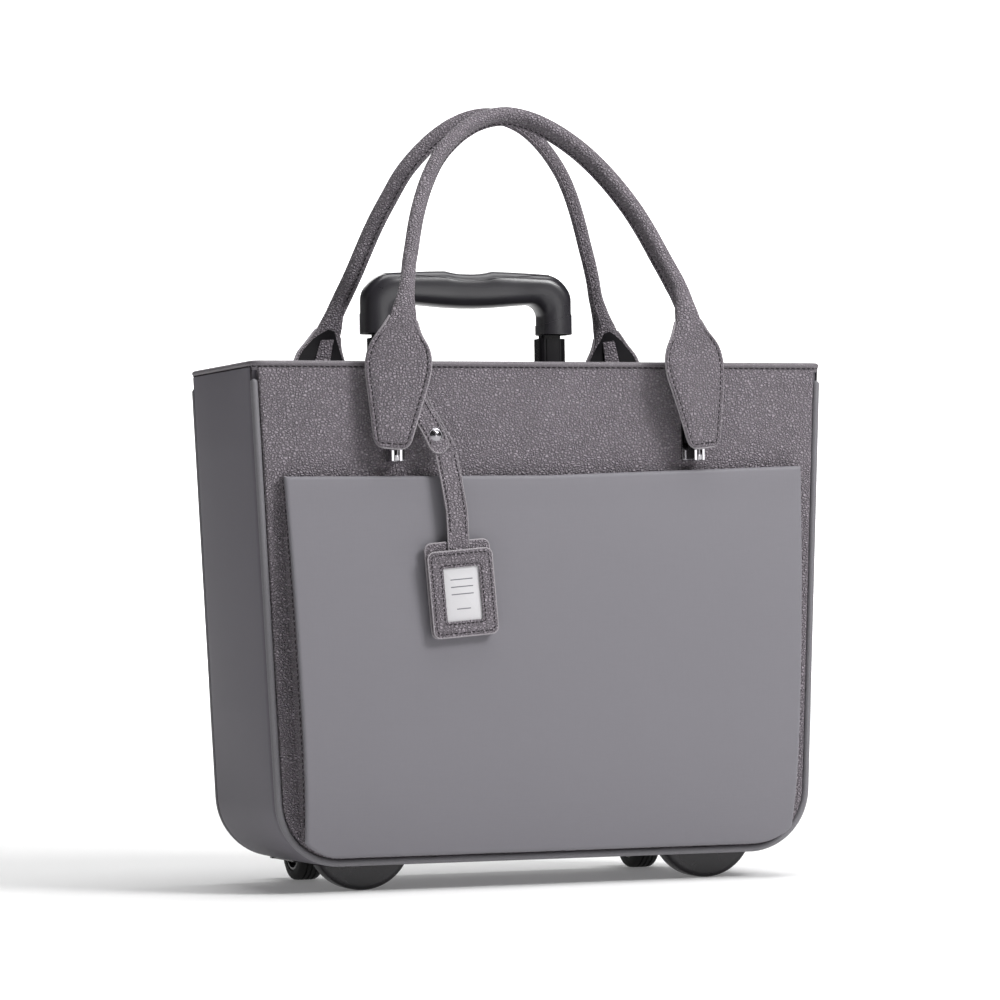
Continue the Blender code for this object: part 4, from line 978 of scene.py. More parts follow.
def leaf_shade_sheet(name, handle, side):
    """A near-black sheet on a leaf's back, painted shade for the dark inside of the leaf's opening, that runs
    up to a point where the leaf closes into the roll.
    """
    top, inset, start = 0.3935, 2.4 * MM, 2.5 * MM
    rings = []
    for k in np.sort(handle.leaf_rows(side, TAB_LOW + start, top)):
        ring = handle.section(k)
        back = ring[ring[:, 1] < -0.3 * MM]
        back = back[np.argsort(back[:, 0])]
        half = min(handle.halves[k] - inset, 0.2 * MM + (top - handle.heights[k]) * 0.85)
        across = np.linspace(-half, half, 11)
        deep = np.interp(across, *back.T)
        near, far = (np.column_stack([across, deep + shift * MM]) for shift in (-0.3, 0.2))
        rings.append(handle.at(k, np.vstack([near, far[::-1]])))
    return loft(name, rings, LEAF_SHADE_CLOTH, sharp=70)


def handle_hardware(end, facing):
    """Each tab's inner strap, its metal tongue, and the bracket that holds its pin."""
    body = HANDLE_BODY % end
    plate_y = MID_Y + facing * HALF_DEPTH
    strap_y, tongue_y, pin_y = (plate_y + facing * out * MM for out in (12.3, 11.7, 10.0))
    for label, side in (("left", -1), ("right", 1)):
        def limb(heights, y):
            return np.array([(side * x, y, z) for x, z in (leaning(BRACKET_X, z) for z in heights)])

        path = swayed(limb(np.linspace(PIN_Z + 8.6 * MM, 0.3925, 24), strap_y), end, facing)
        narrow = 1 - 0.42 * np.clip((path[:, 2] - 0.345) / 0.047, 0, 1)
        inner = sweep("%s_strap_leather_%s" % (body, label), path, (0, facing, 0),
                      rounded(7 * MM, 0.9 * MM, 0.5 * MM, 2), PEBBLED, scale=narrow)
        place(inner, body, "grained_leather", "%s_strap_%s" % (body, label))
        path = limb(PIN_Z + np.array((-0.3, 3, 7, 11, 15)) * MM, tongue_y)
        tongue = sweep("%s_tongue_%s" % (body, label), path, (0, facing, 0),
                       rounded(1.5 * MM, 1.0 * MM, 0.4 * MM, 2), GUNMETAL)
        place(tongue, body, "gunmetal")
        barrel = line_of(side * BRACKET_X + np.array((-1.7, -1.4, 1.4, 1.7)) * MM, pin_y, PIN_Z)
        eye = sweep("%s_eye_%s" % (body, label), barrel, (0, 0, 1), rounded(2.3 * MM, 4.2 * MM, 0.5 * MM, 3),
                    POLISHED, scale=(0.92, 1, 1, 0.92))
        place(eye, body, "gunmetal")
        middle_x, middle_z = side * (BRACKET_X - 2.5 * MM), 0.3059
        loop = [(middle_x + x, middle_z + z) for x, z in rounded(6.5 * MM, 14.4 * MM, 1.2 * MM, 4)]
        near, far = sorted((plate_y, plate_y + facing * 2.2 * MM))
        place(plate("%s_mount_%s" % (body, label), [loop], near, far, GUNMETAL, 0.4 * MM), "bag", "gunmetal")
        refined("%s_bracket_%s" % (body, label), POLISHED, 0.35 * MM)


# ---------------------------------------------------------------- tag
STRAP_HALF = 7.3 * MM
STRAP_THICK = 1.2 * MM
STRAP_EDGE = [(1.0, -0.25), (1.0, 0.25), (0.95, 0.45), (0.80, 0.42), (0.62, 0.52), (0.3, 0.56)]
STRAP_SECTION = np.array(                    # shares of its half width and of its thickness
    STRAP_EDGE + [(0, 0.57)] + [(-x, y) for x, y in reversed(STRAP_EDGE)] + [(-0.93, -0.45), (0.93, -0.45)])
LOOP_RISES = (                               # rightward, y and upward places of the loop from its snap, mm
    (-14.0, -76.8, 39.8), (-13.5, -78.2, 30.0), (-9.5, -81.8, 18.0), (-4.6, -84.8, 9.0), (0.0, -85.9, 0.0))
SNAP_DOME = (                                # shares of the snap's radius: out from its axis, and proud
    (0.2, 0.0), (1.0, 0.0), (1.06, 0.12), (1.0, 0.26), (0.90, 0.30), (0.84, 0.26), (0.78, 0.30),
    (0.62, 0.42), (0.36, 0.50), (0.02, 0.53))
TAG_Y = MID_Y - 0.0945
HOLDER_X, HOLDER_Z, HOLDER_LEAN = -0.0695, 0.2045, radians(-4.5)
HOLDER = np.array((23, 32, 4.5)) * MM        # half width, half height and corner radius
MOUTH_DROP = 6 * MM                          # the holder's front stops short of its back's top
CARD_DROP = 3.5 * MM
CARD_LINES = ((10, 8.0), (5, 8.0), (0, 8.0), (-10, 5.0))    # height and half length, mm


def strap(name, path, face, body, *nodes, tip=False, ends=(0, 0)):
    """A leather strap with painted edges and a row of stitches inside each edge."""
    path = evened(path, 1.5 * MM, smooth=8)
    half = np.full(len(path), STRAP_HALF)
    if tip:
        left = (run_along(path)[-1] - run_along(path)) / STRAP_HALF
        half = np.where(left < 1, np.sqrt(np.maximum(1 - (1 - left) ** 2, 0.02)), 1.0) * STRAP_HALF
    _, across, out = directions(path, face)
    rings = (path[:, None] + across[:, None] * STRAP_SECTION[None, :, :1] * half[:, None, None]
             + out[:, None] * STRAP_SECTION[None, :, 1:] * STRAP_THICK)
    piece = place(loft(name, rings, PEBBLED, sharp=60), body, "grained_leather", *nodes)
    left, right = (path + across * (sign * half)[:, None] for sign in (-1, 1))
    paint = np.array(circle(1, 8)) * (0.55 * MM, STRAP_THICK * 0.58)
    for index, edge in enumerate([np.vstack([right, left[::-1]])] if tip else [left[::-1], right]):
        line = evened(edge, 1.5 * MM, smooth=1)
        place(sweep("%s_edge_%d" % (name, index), line, (0, -1, 0), paint, EDGE), body, "grained_leather")
    keep = slice(ends[0], len(path) - ends[1] - (5 if tip else 0))
    inset = np.maximum(half - 1.7 * MM, 0.2 * MM)[:, None]
    for index, sign in enumerate((-1, 1)):
        line = path + across * sign * inset + out * (STRAP_THICK * 0.46 + 0.12 * MM)
        stitches("%s_stitches_%d" % (name, index), line[keep], out[keep], body, "grained_leather",
                 pitch=3.3 * MM, length=2.5 * MM, radius=0.42 * MM)
    return piece


def plate(name, loops, near, far, look, bevel=0.35 * MM):
    """A flat plate with rounded edges between two Y values, from closed loops of (x, z)."""
    curve = bpy.data.curves.new(name, "CURVE")
    curve.dimensions, curve.fill_mode = "2D", "BOTH"
    curve.extrude = abs(far - near) / 2 - bevel
    curve.bevel_depth, curve.bevel_resolution, curve.offset = bevel, 2, -bevel
    for loop in loops:
        spline = curve.splines.new("POLY")
        spline.points.add(len(loop) - 1)
        for point, (x, z) in zip(spline.points, loop):
            point.co = (x, z, 0, 1)
        spline.use_cyclic_u = True
    guide = linked(name, curve)
    mesh = baked(guide)
    bpy.data.objects.remove(guide, do_unlink=True)
    mesh.transform(Matrix(((1, 0, 0, 0), (0, 0, -1, (near + far) / 2), (0, 1, 0, 0), (0, 0, 0, 1))))
    points = [tuple(v.co) for v in mesh.vertices]
    return mesh_piece(name, points, [tuple(p.vertices) for p in mesh.polygons], look)


def tag_straps():
    """The snapped loop on the bag, in two layers, and the strap that hangs from it."""
    low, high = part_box("tag_snap")
    centre = (low + high) / 2
    rises = np.array(LOOP_RISES) * MM
    line = line_of(centre.x + rises[:, 0], MID_Y + rises[:, 1], centre.z + rises[:, 2])
    outward = (0.0, -0.95, 0.30)
    behind_end = (centre.x + 5.6 * MM, MID_Y - 0.0868, centre.z - 9.5 * MM)
    behind = np.vstack([line, behind_end]) + (2.6 * MM, 0.6 * MM, 0)
    strap("tag_loop_behind", behind, outward, "bag", "tag_loop", ends=(3, 0))
    tip_end = (centre.x + 5.0 * MM, MID_Y - 0.0872, centre.z - 11.5 * MM)
    ahead = np.vstack([line, tip_end]) + (0, -1.1 * MM, 0)
    strap("tag_loop_front", ahead, outward, "bag", tip=True, ends=(3, 0))
    radius = (high.x - low.x) / 2 * 1.08
    rings = []
    for share, rise in SNAP_DOME:
        x, z = np.array(circle(radius * share, 40)).T
        rings.append(line_of(centre.x + x, high.y + 0.9 * MM - radius * rise, centre.z + z))
    place(loft("tag_snap_dome", rings, SNAP, sharp=60), "bag", "gunmetal", "tag_snap")
    start = (behind_end[0] + 1.6 * MM, MID_Y - 0.0878, behind_end[2] - 2.2 * MM)
    hanging = np.array([start, (-0.0745, MID_Y - 0.0905, 0.2800), (-0.0716, TAG_Y + 0.6 * MM, 0.2560),
                        (-0.0708, TAG_Y, 0.2200)])
    strap("tag_strap_leather", hanging, (0.0, -1.0, 0.0), "tag", "tag_strap", ends=(1, 14))


def holder_loop(half_x, half_z, radius, up=0.0, drop=0.0, steps=6):
    """A rounded rectangle (x, z) on the card holder as it hangs; drop lowers its top edge."""
    ring = []
    for x, z in rounded(half_x, half_z, radius, steps):
        z += up - (drop if z > 0 else 0)
        ring.append((HOLDER_X + x * cos(HOLDER_LEAN) + z * sin(HOLDER_LEAN),
                     HOLDER_Z - x * sin(HOLDER_LEAN) + z * cos(HOLDER_LEAN)))
    return np.array(ring)


def tag_holder():
    """The card holder: a leather back, a blank card with ruled lines, and a leather front round it."""
    def painted(name, ring, y, radius):
        line = line_of(ring[:, 0], y, ring[:, 1])
        place(sweep(name, line, (0, -1, 0), circle(radius, 8), EDGE, closed=True), "tag", "grained_leather")

    back_y, card_y = TAG_Y + 1.2 * MM, TAG_Y - 1.7 * MM
    front_y = card_y - 0.2 * MM
    back = holder_loop(*HOLDER)
    holder = plate("tag_back_leather", [back], back_y, back_y + 1.4 * MM, PEBBLED)
    place(holder, "tag", "grained_leather", "tag_back")
    painted("tag_back_edge", back, back_y + 0.7 * MM, 0.75 * MM)
    blank = holder_loop(15 * MM, 20.5 * MM, 1 * MM, -CARD_DROP)
    card = plate("tag_card_blank", [blank], card_y, card_y + 0.5 * MM, CARD, 0.1 * MM)
    place(card, "tag", "card", "tag_card")
    front = holder_loop(*HOLDER, drop=MOUTH_DROP)
    window = holder_loop(12.8 * MM, 18.2 * MM, 1.2 * MM, -CARD_DROP)
    cover = plate("tag_front_leather", [front, window], front_y - 1.2 * MM, front_y, PEBBLED)
    place(cover, "tag", "grained_leather", "tag_front")
    painted("tag_front_edge", front, front_y - 0.6 * MM, 0.7 * MM)
    rim_in = np.array((2.2, 2.2, 1.0)) * MM
    for name, ring in (("rim", holder_loop(*(HOLDER - rim_in), drop=MOUTH_DROP)),
                       ("window", holder_loop(14.6 * MM, 20 * MM, 2.5 * MM, -CARD_DROP))):
        line = line_of(ring[:, 0], front_y - 1.3 * MM, ring[:, 1])
        stitches("tag_stitches_" + name, line, (0, -1, 0), "tag", "grained_leather", pitch=3.2 * MM,
                 length=2.4 * MM, radius=0.40 * MM, closed=True)
    for index, (rise, half) in enumerate(CARD_LINES):
        bar = holder_loop(half * MM, 0.35 * MM, 0.2 * MM, rise * MM - CARD_DROP, steps=2)
        line = plate("tag_card_line_%d" % index, [bar], card_y - 0.06 * MM, card_y + 0.05 * MM, CARD_INK,
                     0.02 * MM)
        place(line, "tag", "card")
    refined("tag_keeper", GUNMETAL, 0.4 * MM)


# ---------------------------------------------------------------- trolley
inner_box, grip_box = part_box("inner_tube_right"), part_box("grip_body")
TUBE_X = (inner_box[0].x + inner_box[1].x) / 2
TUBE_Y = (inner_box[0].y + inner_box[1].y) / 2
TUBE_WALL = 1.6 * MM
COLLAR = 1.2 * MM                            # how far a collar stands out from its tube
COLLAR_LONG = 24 * MM
GRIP_HALF, GRIP_LOW, GRIP_TOP = grip_box[1].x, grip_box[0].z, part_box("grip_cover")[1].z
GRIP_HALF_Y = (grip_box[1].y - grip_box[0].y) / 2
GRIP_SQUARE = 0.62                           # power that squares the grip's oval section
GRIP_NECK = 23.5 * MM
GRIP_BAR_LOW = 0.4096
GRIP_RISE = 1.0 * MM                         # how much higher the grip sits than the frame's
SOCKET_TOP = 0.4035
COVER_RISE = (2.9 * MM, 3.6 * MM)            # the cover's side starts this far in, and is this wide
COVER_EDGE = 2.2 * MM
COVER_DIP = 1.6 * MM
COVER_STEPS = np.array((0, 0.5, 1.2, 2.2, 2.9, 3.3, 3.8, 4.4, 5.1, 5.8, 6.5, 8.5, 11.0)) * MM


def grip_edge(half, low, top, radius):
    """Points (x, z) up the grip's left socket, round a corner and along its bar to the middle."""
    turns = np.linspace(0, pi / 2, 15)
    socket = line_of(-half, low + (top - radius - low) * np.linspace(0, 1, 10)[:-1])
    corner = line_of(radius * (1 - np.cos(turns)) - half, top - radius + radius * np.sin(turns))
    bar = line_of((radius - half) * (1 - np.linspace(0, 1, 31)[1:]), top)
    return np.vstack([socket, corner, bar])


def grip_rows():
    """Pairs of outer and inner points (x, z) along the grip, left socket to right, and the button's scoop."""
    outer = grip_edge(GRIP_HALF, GRIP_LOW, GRIP_TOP + 1.4 * MM, 19 * MM)
    inner = grip_edge(GRIP_HALF - GRIP_NECK, GRIP_LOW, GRIP_BAR_LOW - 1.2 * MM, 9 * MM)
    outer[:, 1] -= 1.9 * MM * (outer[:, 0] / 0.06) ** 2 * np.clip((outer[:, 1] - 0.405) / 0.02, 0, 1)
    inner[:, 1] -= 2.9 * MM * np.cos(np.clip(inner[:, 0] / 0.047, -1, 1) * pi / 2) ** 1.2
    outer, inner = (np.vstack([edge, (edge * (-1, 1))[-2::-1]]) for edge in (outer, inner))
    scoop = np.clip(1 - (outer[:, 0] / (17.5 * MM)) ** 2, 0, 1) ** 0.75 * 2.3 * MM * (outer[:, 1] > 0.42)
    return outer, inner, scoop


def grip_surface(grow=0.0, limits=None, rows=None):
    """Rings round the grip, or only round its outer side within limits, as (x, y, z)."""
    outer, inner, scoop = grip_rows()
    rings = []
    for k in range(len(outer)) if rows is None else rows:
        turns = np.linspace(-pi, pi, 41)[:-1] if limits is None else np.linspace(-limits[k], limits[k], 25)
        side, lift = (np.sign(v) * np.abs(v) ** GRIP_SQUARE for v in (np.sin(turns), np.cos(turns)))
        middle, reach = (outer[k] + inner[k]) / 2, np.linalg.norm(outer[k] - inner[k]) / 2
        up = (outer[k] - inner[k]) / (2 * reach)
        lift = lift * (reach + grow - np.where(lift > 0, scoop[k], 0))
        rings.append(line_of(middle[0] + up[0] * lift, TUBE_Y + side * (GRIP_HALF_Y + grow),
                             middle[1] + up[1] * lift + GRIP_RISE))
    return np.array(rings)


def grip():
    """Soft-touch grip with sleeves on its ends, an inlaid cover with curved edges, and a button."""
    body = loft("grip_moulding", grip_surface(), SOFT_PLASTIC, sharp=60)
    place(body, "trolley_grip", "black_plastic", "grip_body")
    x, heights = grip_rows()[0].T
    for label, side in (("left", -1), ("right", 1)):
        rings = grip_surface(0.45 * MM, rows=np.where((heights < SOCKET_TOP) & (side * x > 0))[0])
        lift = np.clip((rings[..., 2] - 0.400) / 0.004, 0, 1)
        lift *= np.clip((0.068 - np.abs(rings[..., 0])) / 0.012, 0, 1)
        rings[..., 2] += 7 * MM * lift ** 1.5
        place(loft("grip_socket_" + label, rings, SOFT_PLASTIC), "trolley_grip", "black_plastic")
    limits = np.radians(18 + 52 * np.cos(np.clip(x / 0.066, -1, 1) * pi / 2) ** 0.8)
    rows = np.where((np.abs(x) < 0.064) & (heights > 0.41))[0]
    outer, inner = (grip_surface(grow, limits, rows) for grow in (0.35 * MM, -1.2 * MM))
    rings = np.concatenate([outer, inner[:, ::-1]], axis=1)
    place(loft("grip_cover_inlay", rings, SOFT_PLASTIC), "trolley_grip", "black_plastic", "grip_cover")
    low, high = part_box("release_button")
    rings = []
    for share in np.linspace(-1, 1, 33):
        depth = 3.4 * MM * max(0.0, 1 - share ** 2) ** 0.6 + 0.25 * MM
        top = high.z - 1.0 * MM - 0.5 * MM * share ** 4
        y, z = np.array(rounded((high.y - low.y) / 2 + 2.2 * MM, depth, min(0.9 * MM, depth * 0.9), 3)).T
        rings.append(line_of((high.x - low.x) / 2 * share, TUBE_Y + y, top - depth + z))
    place(loft("release_button_cap", rings, BLACK_PLASTIC), "button", "black_plastic", "release_button")
    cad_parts["button_spring"].material_slots[0].material = STEEL


def pipe(name, x, outer, bore, low, high):
    """A straight hollow tube between two heights, from its section and its bore's share of that."""
    rings = [line_of(x + share * outer[:, 0], TUBE_Y + share * outer[:, 1], z)
             for share, z in ((bore, low), (1, low), (1, high), (bore, high))]
    return loft(name, rings, TUBE, closed=True, sharp=30)


def ribbed(half_x, half_y, radius):
    """A tube's section with two shallow grooves down its front and its back."""
    base = np.array(rounded(half_x, half_y, radius, 6))
    ring = []
    for a, b in zip(base, np.roll(base, -1, axis=0)):
        steps = max(1, int(np.linalg.norm(b - a) / (0.5 * MM)))
        ring += [a + (b - a) * k / steps for k in range(steps)]
    ring = np.array(ring)
    groove = np.abs(np.abs(ring[:, 0]) - half_x * 0.58) < 0.8 * MM
    on_face = np.abs(ring[:, 1]) > half_y - 0.1 * MM
    ring[groove & on_face, 1] *= 1 - 0.5 * MM / half_y
    return ring


def trolley():
    grip()
    for label in ("left", "right"):
        low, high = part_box("middle_tube_" + label)
        x = (low.x + high.x) / 2
        wide, deep = (high.x - low.x) / 2, (high.y - low.y) / 2
        section = ribbed(wide - COLLAR, deep - COLLAR, 2.4 * MM)
        bore = 1 - TUBE_WALL / (wide - COLLAR)
        middle = pipe("middle_tube_shell_" + label, x, section, bore, low.z, high.z)
        place(middle, "trolley_middle", "black_tube", "middle_tube_" + label)
        bore = (wide - 2 * COLLAR) / wide
        collar = pipe("middle_tube_collar_" + label, x, ribbed(wide, deep, 3 * MM), bore,
                      high.z - COLLAR_LONG, high.z)
        place(collar, "trolley_middle", "black_plastic")
        for kind in ("outer_tube_", "inner_tube_"):
            refined(kind + label, TUBE, 0.25 * MM, 2, 20)
    for name, places in (("tube_rim_bracket", (-0.036, 0.036)),
                         ("tube_foot_bracket", (-0.086, -0.030, 0.030, 0.086))):
        refined(name, BLACK_PLASTIC, 0.7 * MM, 3)
        low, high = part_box(name)
        centres = line_of(np.array(places), high.y + 0.1 * MM, (low.z + high.z) / 2)
        screws(name + "_screws", centres, [((1, 0, 0), (0, 0, 1), (0, 1, 0))] * len(places), 3.0 * MM)
    trolley_cover()


def screws(name, centres, axes, radius):
    """Domed screw heads with a cross recess, pressed into their surface."""
    profile = ((0.35, 0.31), (0.62, 0.26), (0.85, 0.14), (1.0, -0.05), (1.0, -0.3))
    sides, points, faces = 20, [], []
    for r, rise in profile:
        for k, (x, y) in enumerate(circle(radius * r, sides)):
            cross = 0.28 if r < 0.5 and k % 5 == 0 else 0.0
            points.append((x, y, radius * (rise - cross)))
    for a in range(0, (len(profile) - 1) * sides, sides):
        b = a + sides
        faces += [(a + k, b + k, b + (k + 1) % sides, a + (k + 1) % sides) for k in range(sides)]
    top, bottom, base = len(points), len(points) + 1, len(points) - sides
    points += [(0, 0, radius * 0.02), (0, 0, -radius * 0.3)]
    faces += [(top, k, (k + 1) % sides) for k in range(sides)]
    faces += [(bottom, base + (k + 1) % sides, base + k) for k in range(sides)]
    place(scattered(name, (points, faces), centres, axes, STEEL), "bag", "steel")


def trolley_cover():
    """A sewn cloth cover over the two outer tubes, that dips a little between them."""
    low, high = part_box("trolley_cover")
    half, bottom, top = high.x, low.z, high.z
    face_out = high.y - REAR_Y

    def dip(x, z):
        across = np.clip(np.cos(x / (TUBE_X * 0.86) * pi / 2), 0, 1)
        return COVER_DIP * across * np.sin(pi * (z - bottom) / (top - bottom))

    def sewn(name, line):
        stitches("trolley_cover_stitches_" + name, line, (0, 1, 0), "bag", "satin_shell")

    xs, zs, _ = sheet_grid(lambda z: half, bottom, lambda x: top, 40, 40, COVER_STEPS)
    side = half - np.abs(xs)
    share = np.sin(np.clip((side - COVER_RISE[0]) / COVER_RISE[1], 0, 1) * pi / 2) ** 0.8
    out = COVER_EDGE + (face_out - COVER_EDGE) * share - dip(xs, zs)
    face = REAR_Y + out - rolled_off(side, 1.0 * MM)
    back = REAR_Y + np.maximum(out - 2.0 * MM, 0.2 * MM)
    cover = sheet("trolley_cover_cloth", xs, zs, face, back, SATIN)
    place(cover, "bag", "satin_shell", "trolley_cover")
    for label, sign in (("left", -1), ("right", 1)):
        heights = np.linspace(bottom + 3 * MM, top, 60)
        sewn(label, line_of(sign * (half - COVER_EDGE), REAR_Y + 2.3 * MM, heights))
        line = line_of(sign * (half + 0.2 * MM), REAR_Y + 1.3 * MM, np.linspace(bottom, top, 40))
        bead = sweep("trolley_cover_bead_" + label, line, (0, 1, 0), circle(1.3 * MM, 10), SMOOTH_LEATHER,
                     dome=True)
        place(bead, "bag", "grained_leather")
    xs = np.linspace(-half + 15 * MM, half - 15 * MM, 80)
    for label, z in (("top", top - 2.5 * MM), ("bottom", bottom + 2.5 * MM)):
        sewn(label, line_of(xs, high.y - dip(xs, z) + 0.1 * MM, z))


# ---------------------------------------------------------------- wheels and feet
TYRE_BORE = 17.2 * MM
TREAD_GROOVES = (-3.6, 0.0, 3.6)
HOUSING_BORE = 3.4 * MM
HOUSING_ROUND = 2.2 * MM
HOUSING_CUT = 9.5 * MM                       # the housings are open this far below their axles
FOOT_ROUND = 3.2 * MM
FOOT_SHARES = (-1, -0.985, -0.93, -0.84, -0.7, 0.7, 0.84, 0.93, 0.985, 1)


def turned_ring(name, centre, profile, look, sides=72, sharp=35):
    """A ring turned about the X line through a centre, from a closed (x, radius) profile."""
    x, radius = np.array(profile).T
    rings = [line_of(centre.x + x, centre.y + radius * cos(a), centre.z + radius * sin(a))
             for a in (2 * pi * k / sides for k in range(sides))]
    return loft(name, rings, look, closed=True, sharp=sharp)


def wheel_housing(label, centre, room, inner_half):
    """The moulded shell over a wheel, cut away below its axle."""
    low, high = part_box("wheel_housing_" + label)
    outer_r, half, lip = high.z - centre.z, (high.x - low.x) / 2, 0.9 * MM
    turns = np.linspace(0, pi / 2, 5)
    right = [(half, HOUSING_BORE), (half, 7 * MM), (half - lip, 7.8 * MM), (half - lip, outer_r - 7 * MM),
             (half, outer_r - 6.2 * MM)]
    right += [(half - HOUSING_ROUND * (1 - cos(a)), outer_r - HOUSING_ROUND * (1 - sin(a))) for a in turns]
    right += [(0.9 * MM, outer_r), (0.5 * MM, outer_r - 0.4 * MM)]
    inside = [(-inner_half, HOUSING_BORE), (-inner_half, room), (inner_half, room),
              (inner_half, HOUSING_BORE)]
    profile = right + [(-x, r) for x, r in right[::-1]] + inside
    shell_piece = turned_ring("wheel_housing_shell_" + label, centre, profile, BLACK_PLASTIC, 96, 40)
    past_side, past_end = 0.01, 0.02
    carved(shell_piece, (low.x - past_side, low.y - past_end, -past_end),
           (high.x + past_side, high.y + past_end, centre.z - HOUSING_CUT))
    place(shell_piece, "bag", "black_plastic", "wheel_housing_" + label)


def wheels():
    """Grooved tyres, ribbed hubs, the housings over them and the axles' heads."""
    for label in ("left", "right"):
        low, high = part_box("wheel_tyre_" + label)
        centre, radius, half = (low + high) / 2, (high.z - low.z) / 2, (high.x - low.x) / 2
        body = "wheel_" + label
        shoulder = [(half, TYRE_BORE), (half, 21.3 * MM), (half - 0.7 * MM, 22.9 * MM),
                    (half - 2 * MM, radius - 0.3 * MM)]
        tread = [(-x, r) for x, r in shoulder]
        for groove in TREAD_GROOVES:
            tread += [((groove + x) * MM, radius - deep * MM)
                      for x, deep in ((-0.75, 0), (-0.55, 1.0), (0.55, 1.0), (0.75, 0))]
        tyre = turned_ring("wheel_tread_" + label, centre, tread + shoulder[::-1], RUBBER)
        place(tyre, body, "tyre_rubber", "wheel_tyre_" + label)
        refined("wheel_hub_" + label, BLACK_PLASTIC, 0.3 * MM)
        centres, axes = [], []
        for face in (-1, 1):
            for y, z in circle(1, 6):
                out = np.array((0, y, z))
                centres.append(np.array(centre) + out * 11 * MM + np.array((face * 5.6 * MM, 0, 0)))
                axes.append((out, np.cross((face, 0, 0), out), (face, 0, 0)))
        rib = block(7 * MM, 2 * MM, 2.4 * MM, 0.4 * MM)
        ribs = scattered("wheel_ribs_" + label, rib, np.array(centres), axes, BLACK_PLASTIC)
        place(ribs, body, "black_plastic")
        wheel_housing(label, centre, radius + 2.2 * MM, half + 1.5 * MM)
        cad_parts["wheel_axle_" + label].material_slots[0].material = STEEL
        axle_low, axle_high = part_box("wheel_axle_" + label)
        ends = line_of((axle_low.x - 0.1 * MM, axle_high.x + 0.1 * MM), centre.y, centre.z)
        axes = [((0, 1, 0), (0, 0, side), (side, 0, 0)) for side in (-1, 1)]
        screws("wheel_axle_heads_" + label, ends, axes, 4.2 * MM)


def feet():
    """Half-moon feet with rounded faces."""
    for label in ("left", "right"):
        low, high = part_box("front_foot_" + label)
        centre, half, depth, height = (low + high) / 2, (high.x - low.x) / 2, (high.y - low.y) / 2, high.z
        radius = (half ** 2 + height ** 2) / (2 * height)
        limit = asin(half / radius)
        turns = np.linspace(-limit, limit, 49)
        arc = np.maximum(radius * (1 - np.cos(turns)), 0)
        rings = []
        for share in FOOT_SHARES:
            near_face = max(0.0, (abs(share) - 0.7) / 0.3)
            shrink = FOOT_ROUND * (1 - sqrt(max(0.0, 1 - near_face ** 2)))
            x = centre.x + radius * np.sin(turns) * (1 - shrink / half)
            z = np.minimum(arc + shrink * np.cos(turns), height)
            bottom = line_of(x, centre.y + share * depth, z)
            rings.append(np.vstack([bottom, line_of(x[[-1, 0]], centre.y + share * depth, height)]))
        foot = loft("front_foot_moulding_" + label, rings, BLACK_PLASTIC, sharp=50)
        place(foot, "bag", "black_plastic", "front_foot_" + label)


# ---------------------------------------------------------------- zipped top and inside
ZIP_PITCH = 2.0 * MM
TAPE_HALF = 5.5 * MM
SLEEVE_WALL = 4 * MM
QUILT_CHANNEL = 42 * MM
QUILT_PUFF = 2.6 * MM


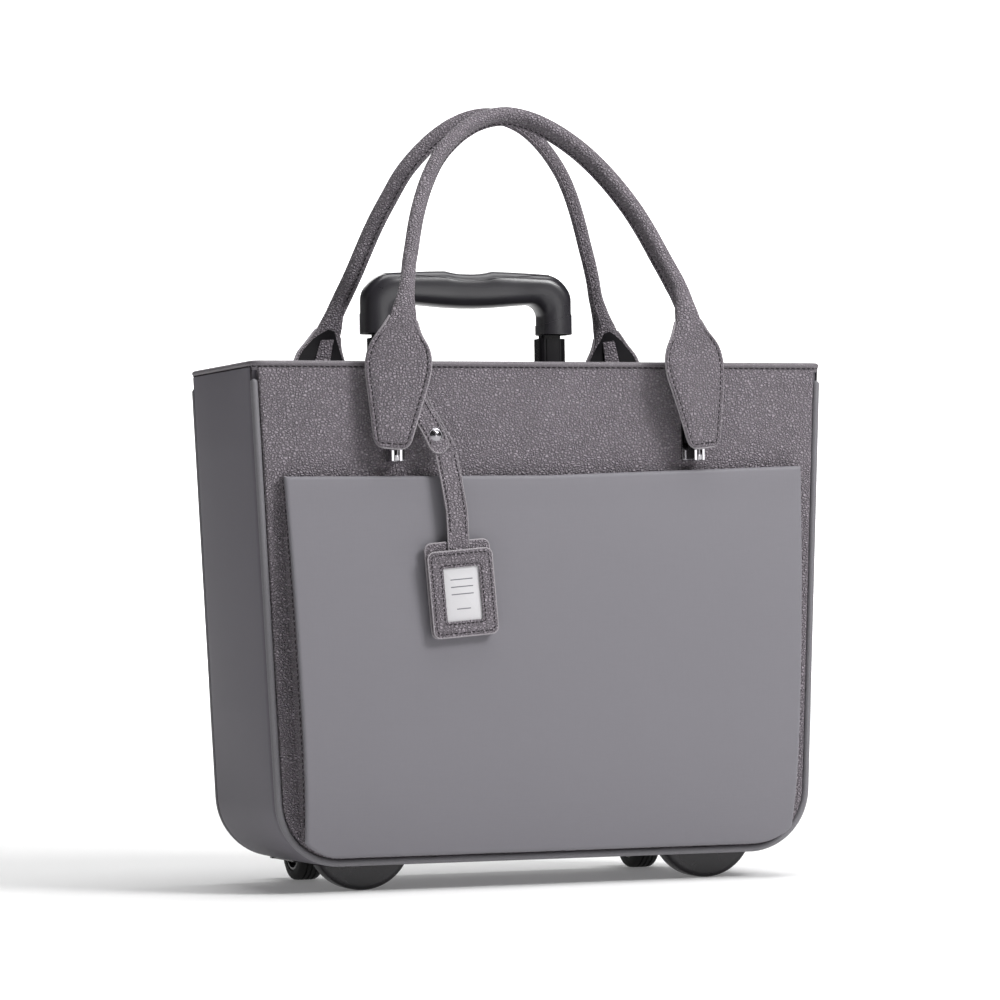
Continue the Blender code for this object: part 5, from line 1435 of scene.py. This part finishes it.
def zipped_top():
    """Two cloth flaps with zip tape and teeth; the teeth meet under the slider."""
    slider_low, slider_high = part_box("zip_slider")
    line_y = (slider_low.y + slider_high.y) / 2
    tooth = block(0.95 * MM, 2.6 * MM, 1.3 * MM, 0.2 * MM)
    for end, facing in (("front", -1), ("rear", 1)):
        body = "zip_flap_" + end
        low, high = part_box(body)
        hinge = low.y if facing < 0 else high.y
        top, half = high.z, high.x
        free = line_y + facing * 2.2 * MM
        width = abs(hinge - free)
        steps = np.array((0, 0.3, 0.8, 1.6)) * MM
        xs, ws, edge = sheet_grid(lambda z: half, 0.0, lambda x: width, 22, 40, steps, ease=1.0)
        sag = 1.1 * MM * np.sin(pi * np.clip(ws / width, 0, 1)) * (1 - (xs / half) ** 2)
        up = top - 0.7 * MM - sag - rolled_off(edge, 0.6 * MM)
        down = top - 2.1 * MM - sag

        def laid(points):
            return line_of(points[:, 0], hinge - facing * points[:, 2], points[:, 1])

        cloth = sheet(body + "_cloth", xs, ws, up, down, LINING_CLOTH, laid)
        place(cloth, body, "lining", body)
        along = np.linspace(-half + 3 * MM, half - 3 * MM, 120)
        line = line_of(along, free + facing * (TAPE_HALF - 0.5 * MM), top - 0.45 * MM)
        tape = sweep(body + "_tape", line, (0, 0, 1), rounded(TAPE_HALF, 0.4 * MM, 0.3 * MM, 2), ZIP_TAPE)
        place(tape, body, "lining")
        count = int((2 * half - 10 * MM) / ZIP_PITCH)
        first = 5 * MM - half + (ZIP_PITCH / 2 if facing > 0 else 0)
        centres = line_of(first + ZIP_PITCH * np.arange(count), line_y + facing * 0.75 * MM, top - 0.15 * MM)
        teeth = scattered(body + "_teeth", tooth, centres, [np.eye(3)] * count, GUNMETAL)
        place(teeth, body, "gunmetal")
        seam = line + (0, facing * (TAPE_HALF - 1.5 * MM), 0.45 * MM)
        stitches(body + "_stitches", seam, (0, 0, 1), body, "lining")
    for name in ("zip_slider", "zip_puller"):
        refined(name, GUNMETAL, 0.25 * MM)


def sleeve():
    """The padded laptop sleeve, quilted in broad channels, with a bound mouth."""
    low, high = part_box("laptop_sleeve")
    half, middle = high.x, SLEEVE_WALL / 2
    xs, zs, edge = sheet_grid(lambda z: half, low.z, lambda x: high.z, 60, 96, ease=1.0)
    crossing = [np.abs(np.sin(run / QUILT_CHANNEL * pi / 1.4)) for run in (xs + zs, xs - zs)]
    puff = QUILT_PUFF * (crossing[0] * crossing[1]) ** 0.45 * np.clip(edge / (18 * MM), 0, 1)
    face = low.y - puff + rolled_off(edge, 1.6 * MM)
    back = np.full_like(xs, low.y + SLEEVE_WALL)
    pad = sheet("laptop_sleeve_pad", xs, zs, face, back, LINING_CLOTH)
    place(pad, "bag", "lining", "laptop_sleeve")
    reach = (high.y - low.y - SLEEVE_WALL) / 2
    side_x, top_z, bottom_z = half - middle, high.z - 2 * MM, low.z + middle
    corners = np.array([(-side_x, top_z), (-side_x, bottom_z), (side_x, bottom_z), (side_x, top_z)])
    path = evened(line_of(corners[:, 0], high.y - reach, corners[:, 1]), 4 * MM, smooth=3)
    section = rounded(middle - 0.2 * MM, reach - 0.2 * MM, 1.2 * MM, 3)
    place(sweep("laptop_sleeve_gusset", path, (0, 1, 0), section, LINING_CLOTH), "bag", "lining")
    mouth = line_of(np.linspace(-half, half, 90), low.y + middle, high.z + 0.5 * MM)
    section = rounded(2.9 * MM, 2.4 * MM, 1.8 * MM, 4)
    place(sweep("laptop_sleeve_binding", mouth, (0, 0, 1), section, ZIP_TAPE, dome=True), "bag", "lining")
    for name in ("base_board", "back_board"):
        refined(name, BOARD, 0.6 * MM)


# ---------------------------------------------------------------- the whole case
camera()
studio()
shell()
piping()
rim()
pocket()
for which, way in (("front", -1), ("rear", 1)):
    handle_leather(which, way)
    handle_hardware(which, way)
tag_straps()
tag_holder()
trolley()
wheels()
feet()
zipped_top()
sleeve()
